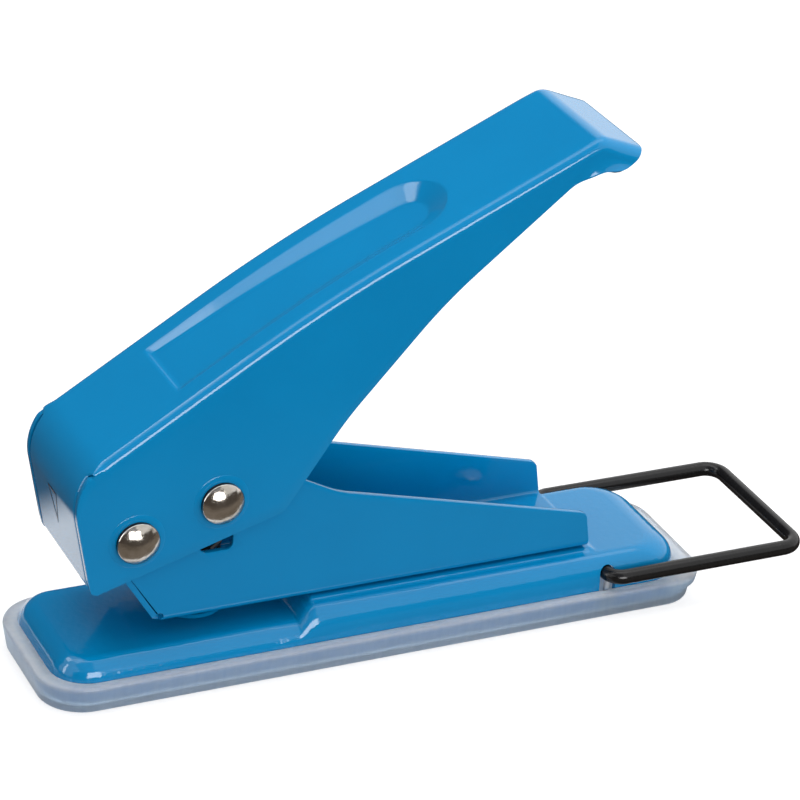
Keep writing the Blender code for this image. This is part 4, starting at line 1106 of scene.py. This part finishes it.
def makeCard(name, start, end, tone, strength=1.0, slanted=False, hole=None, fade=None):
    # studio card between two opposite corners that shows in reflections only; its first side
    # runs along X, or level when slanted. A hole (x, y and half sizes) is clear, and fade is
    # (axis, from, to)
    (x0, y0, z0), (x1, y1, z1) = start, end
    second, fourth = ((x1, y1, z0), (x0, y0, z1)) if slanted else ((x1, y0, z0), (x0, y1, z1))
    mesh = bpy.data.meshes.new(name)
    mesh.from_pydata([start, second, end, fourth], [], [(0, 1, 2, 3)])
    material, tree = nodeMaterial(name)
    tree.nodes.remove(tree.nodes["Principled BSDF"])
    glow = tree.nodes.new("ShaderNodeEmission")
    glow.inputs["Color"].default_value = (*tones[tone], 1)
    glow.inputs["Strength"].default_value = strength
    out = tree.nodes["Material Output"]
    tree.links.new(glow.outputs[0], out.inputs["Surface"])
    if hole or fade:
        coords = tree.nodes.new("ShaderNodeTexCoord")
        if hole:
            x, y, halfX, halfY = hole
            scale, move = (1 / halfX, 1 / halfY, 0), (-x / halfX, -y / halfY, 0)
            length = tree.nodes.new("ShaderNodeVectorMath")
            length.operation = "LENGTH"
            tree.links.new(mappingOn(tree, coords.outputs["Object"], scale, move), length.inputs[0])
            step = rangeOn(tree, length.outputs["Value"], 0.0, 1.0, *studio["holeFade"])
        else:
            parts = splitOn(tree, coords.outputs["Object"])
            step = rangeOn(tree, parts[fade[0]], 1.0, 0.0, *fade[1:])
        step.node.interpolation_type = "SMOOTHSTEP"
        clear = tree.nodes.new("ShaderNodeBsdfTransparent")
        mix = tree.nodes.new("ShaderNodeMixShader")
        tree.links.new(step, mix.inputs["Fac"])
        tree.links.new(clear.outputs[0], mix.inputs[1])
        tree.links.new(glow.outputs[0], mix.inputs[2])
        tree.links.new(mix.outputs[0], out.inputs["Surface"])
    mesh.materials.append(material)
    card = addObject(name, mesh)
    card.visible_camera = card.visible_diffuse = False
    card.visible_shadow = card.visible_transmission = False


def makeWorld():
    # white wherever it is seen, also in gloss and through plastic; for the rest a plain soft
    # light, less from the left
    world = bpy.data.worlds.new("studio")
    scene.world = world
    world.use_nodes = True
    tree = world.node_tree
    back = tree.nodes["Background"]
    seen = lightPath(tree)
    coords = tree.nodes.new("ShaderNodeTexCoord")
    parts = splitOn(tree, coords.outputs["Generated"])
    soft = rangeOn(tree, parts["X"], *studio["world"], *studio["worldFade"])
    level = rangeOn(tree, seen, 0.0, 1.0)
    tree.links.new(soft, level.node.inputs["To Min"])
    tree.links.new(level, back.inputs["Strength"])
    back.inputs["Color"].default_value = (1, 1, 1, 1)


lamps = dict(
    ceiling=dict(place=(0.02, 0.06, 0.95), aim=(0.02, 0.061, 0), size=(1.1, 0.42), strength=3.5),
    key=dict(place=(-0.01, -1.1, 0.27), aim=(-0.02, 0, 0.01), size=(0.62, 0.42), strength=3.4),
    panel=dict(place=(0.75, 1.0, 0.30), aim=(0.03, 0, 0.03), size=(0.9, 0.60), strength=0.45))
cards = dict(
    floorCard=dict(start=(-3, -3, 0.0004), end=(3, 3, 0.0004), tone="brown",
                   hole=(0.012, 0.012, 0.066, 0.0315)),
    nearCard=dict(start=(-0.3, -0.13, 0.0006), end=(0.3, -0.021, 0.0006), tone="near",
                  fade=("Y", -0.040, -0.110)),
    frontCard=dict(start=(-3, -1.6, 0), end=(3, -1.6, 1.0), tone="brown"),
    backCard=dict(start=(-0.9, 0.32, 0), end=(0.26, 0.32, 0.55), tone="dark",
                  fade=("X", 0.08, 0.20)),
    softbox=dict(start=(0.26, -0.96, 0.22), end=(0.90, -0.42, 1.35), tone="white", strength=0.85,
                 slanted=True),
    leftCard=dict(start=(-1, -0.07, 0), end=(-1, 0.07, 0.7), tone="white", strength=6.0,
                  slanted=True),
    highCard=dict(start=(-0.80, 0.16, 0.9), end=(-0.44, 0.48, 0.9), tone="white", strength=4.5),
    overhead=dict(start=(-0.53, -0.15, 0.94), end=(0.57, 0.27, 0.94), tone="white", strength=2.1),
    keyCard=dict(start=(-0.32, -1.1, 0.06), end=(0.30, -1.1, 0.48), tone="white", strength=8.5),
    gapCard=dict(start=(-0.7, -1.0, 0.52), end=(0.1, -0.22, 0.93), tone="dark", strength=3.0),
    panelCard=dict(start=(0.3, 1.0, 0.0), end=(1.2, 1.0, 0.6), tone="white", strength=1.06))
makeCamera()
makeFloor()
for name, lamp in lamps.items():
    makeLamp(name, **lamp)
for name, card in cards.items():
    makeCard(name, **card)
makeWorld()
scene.view_settings.view_transform = "Standard"
print("studio made")
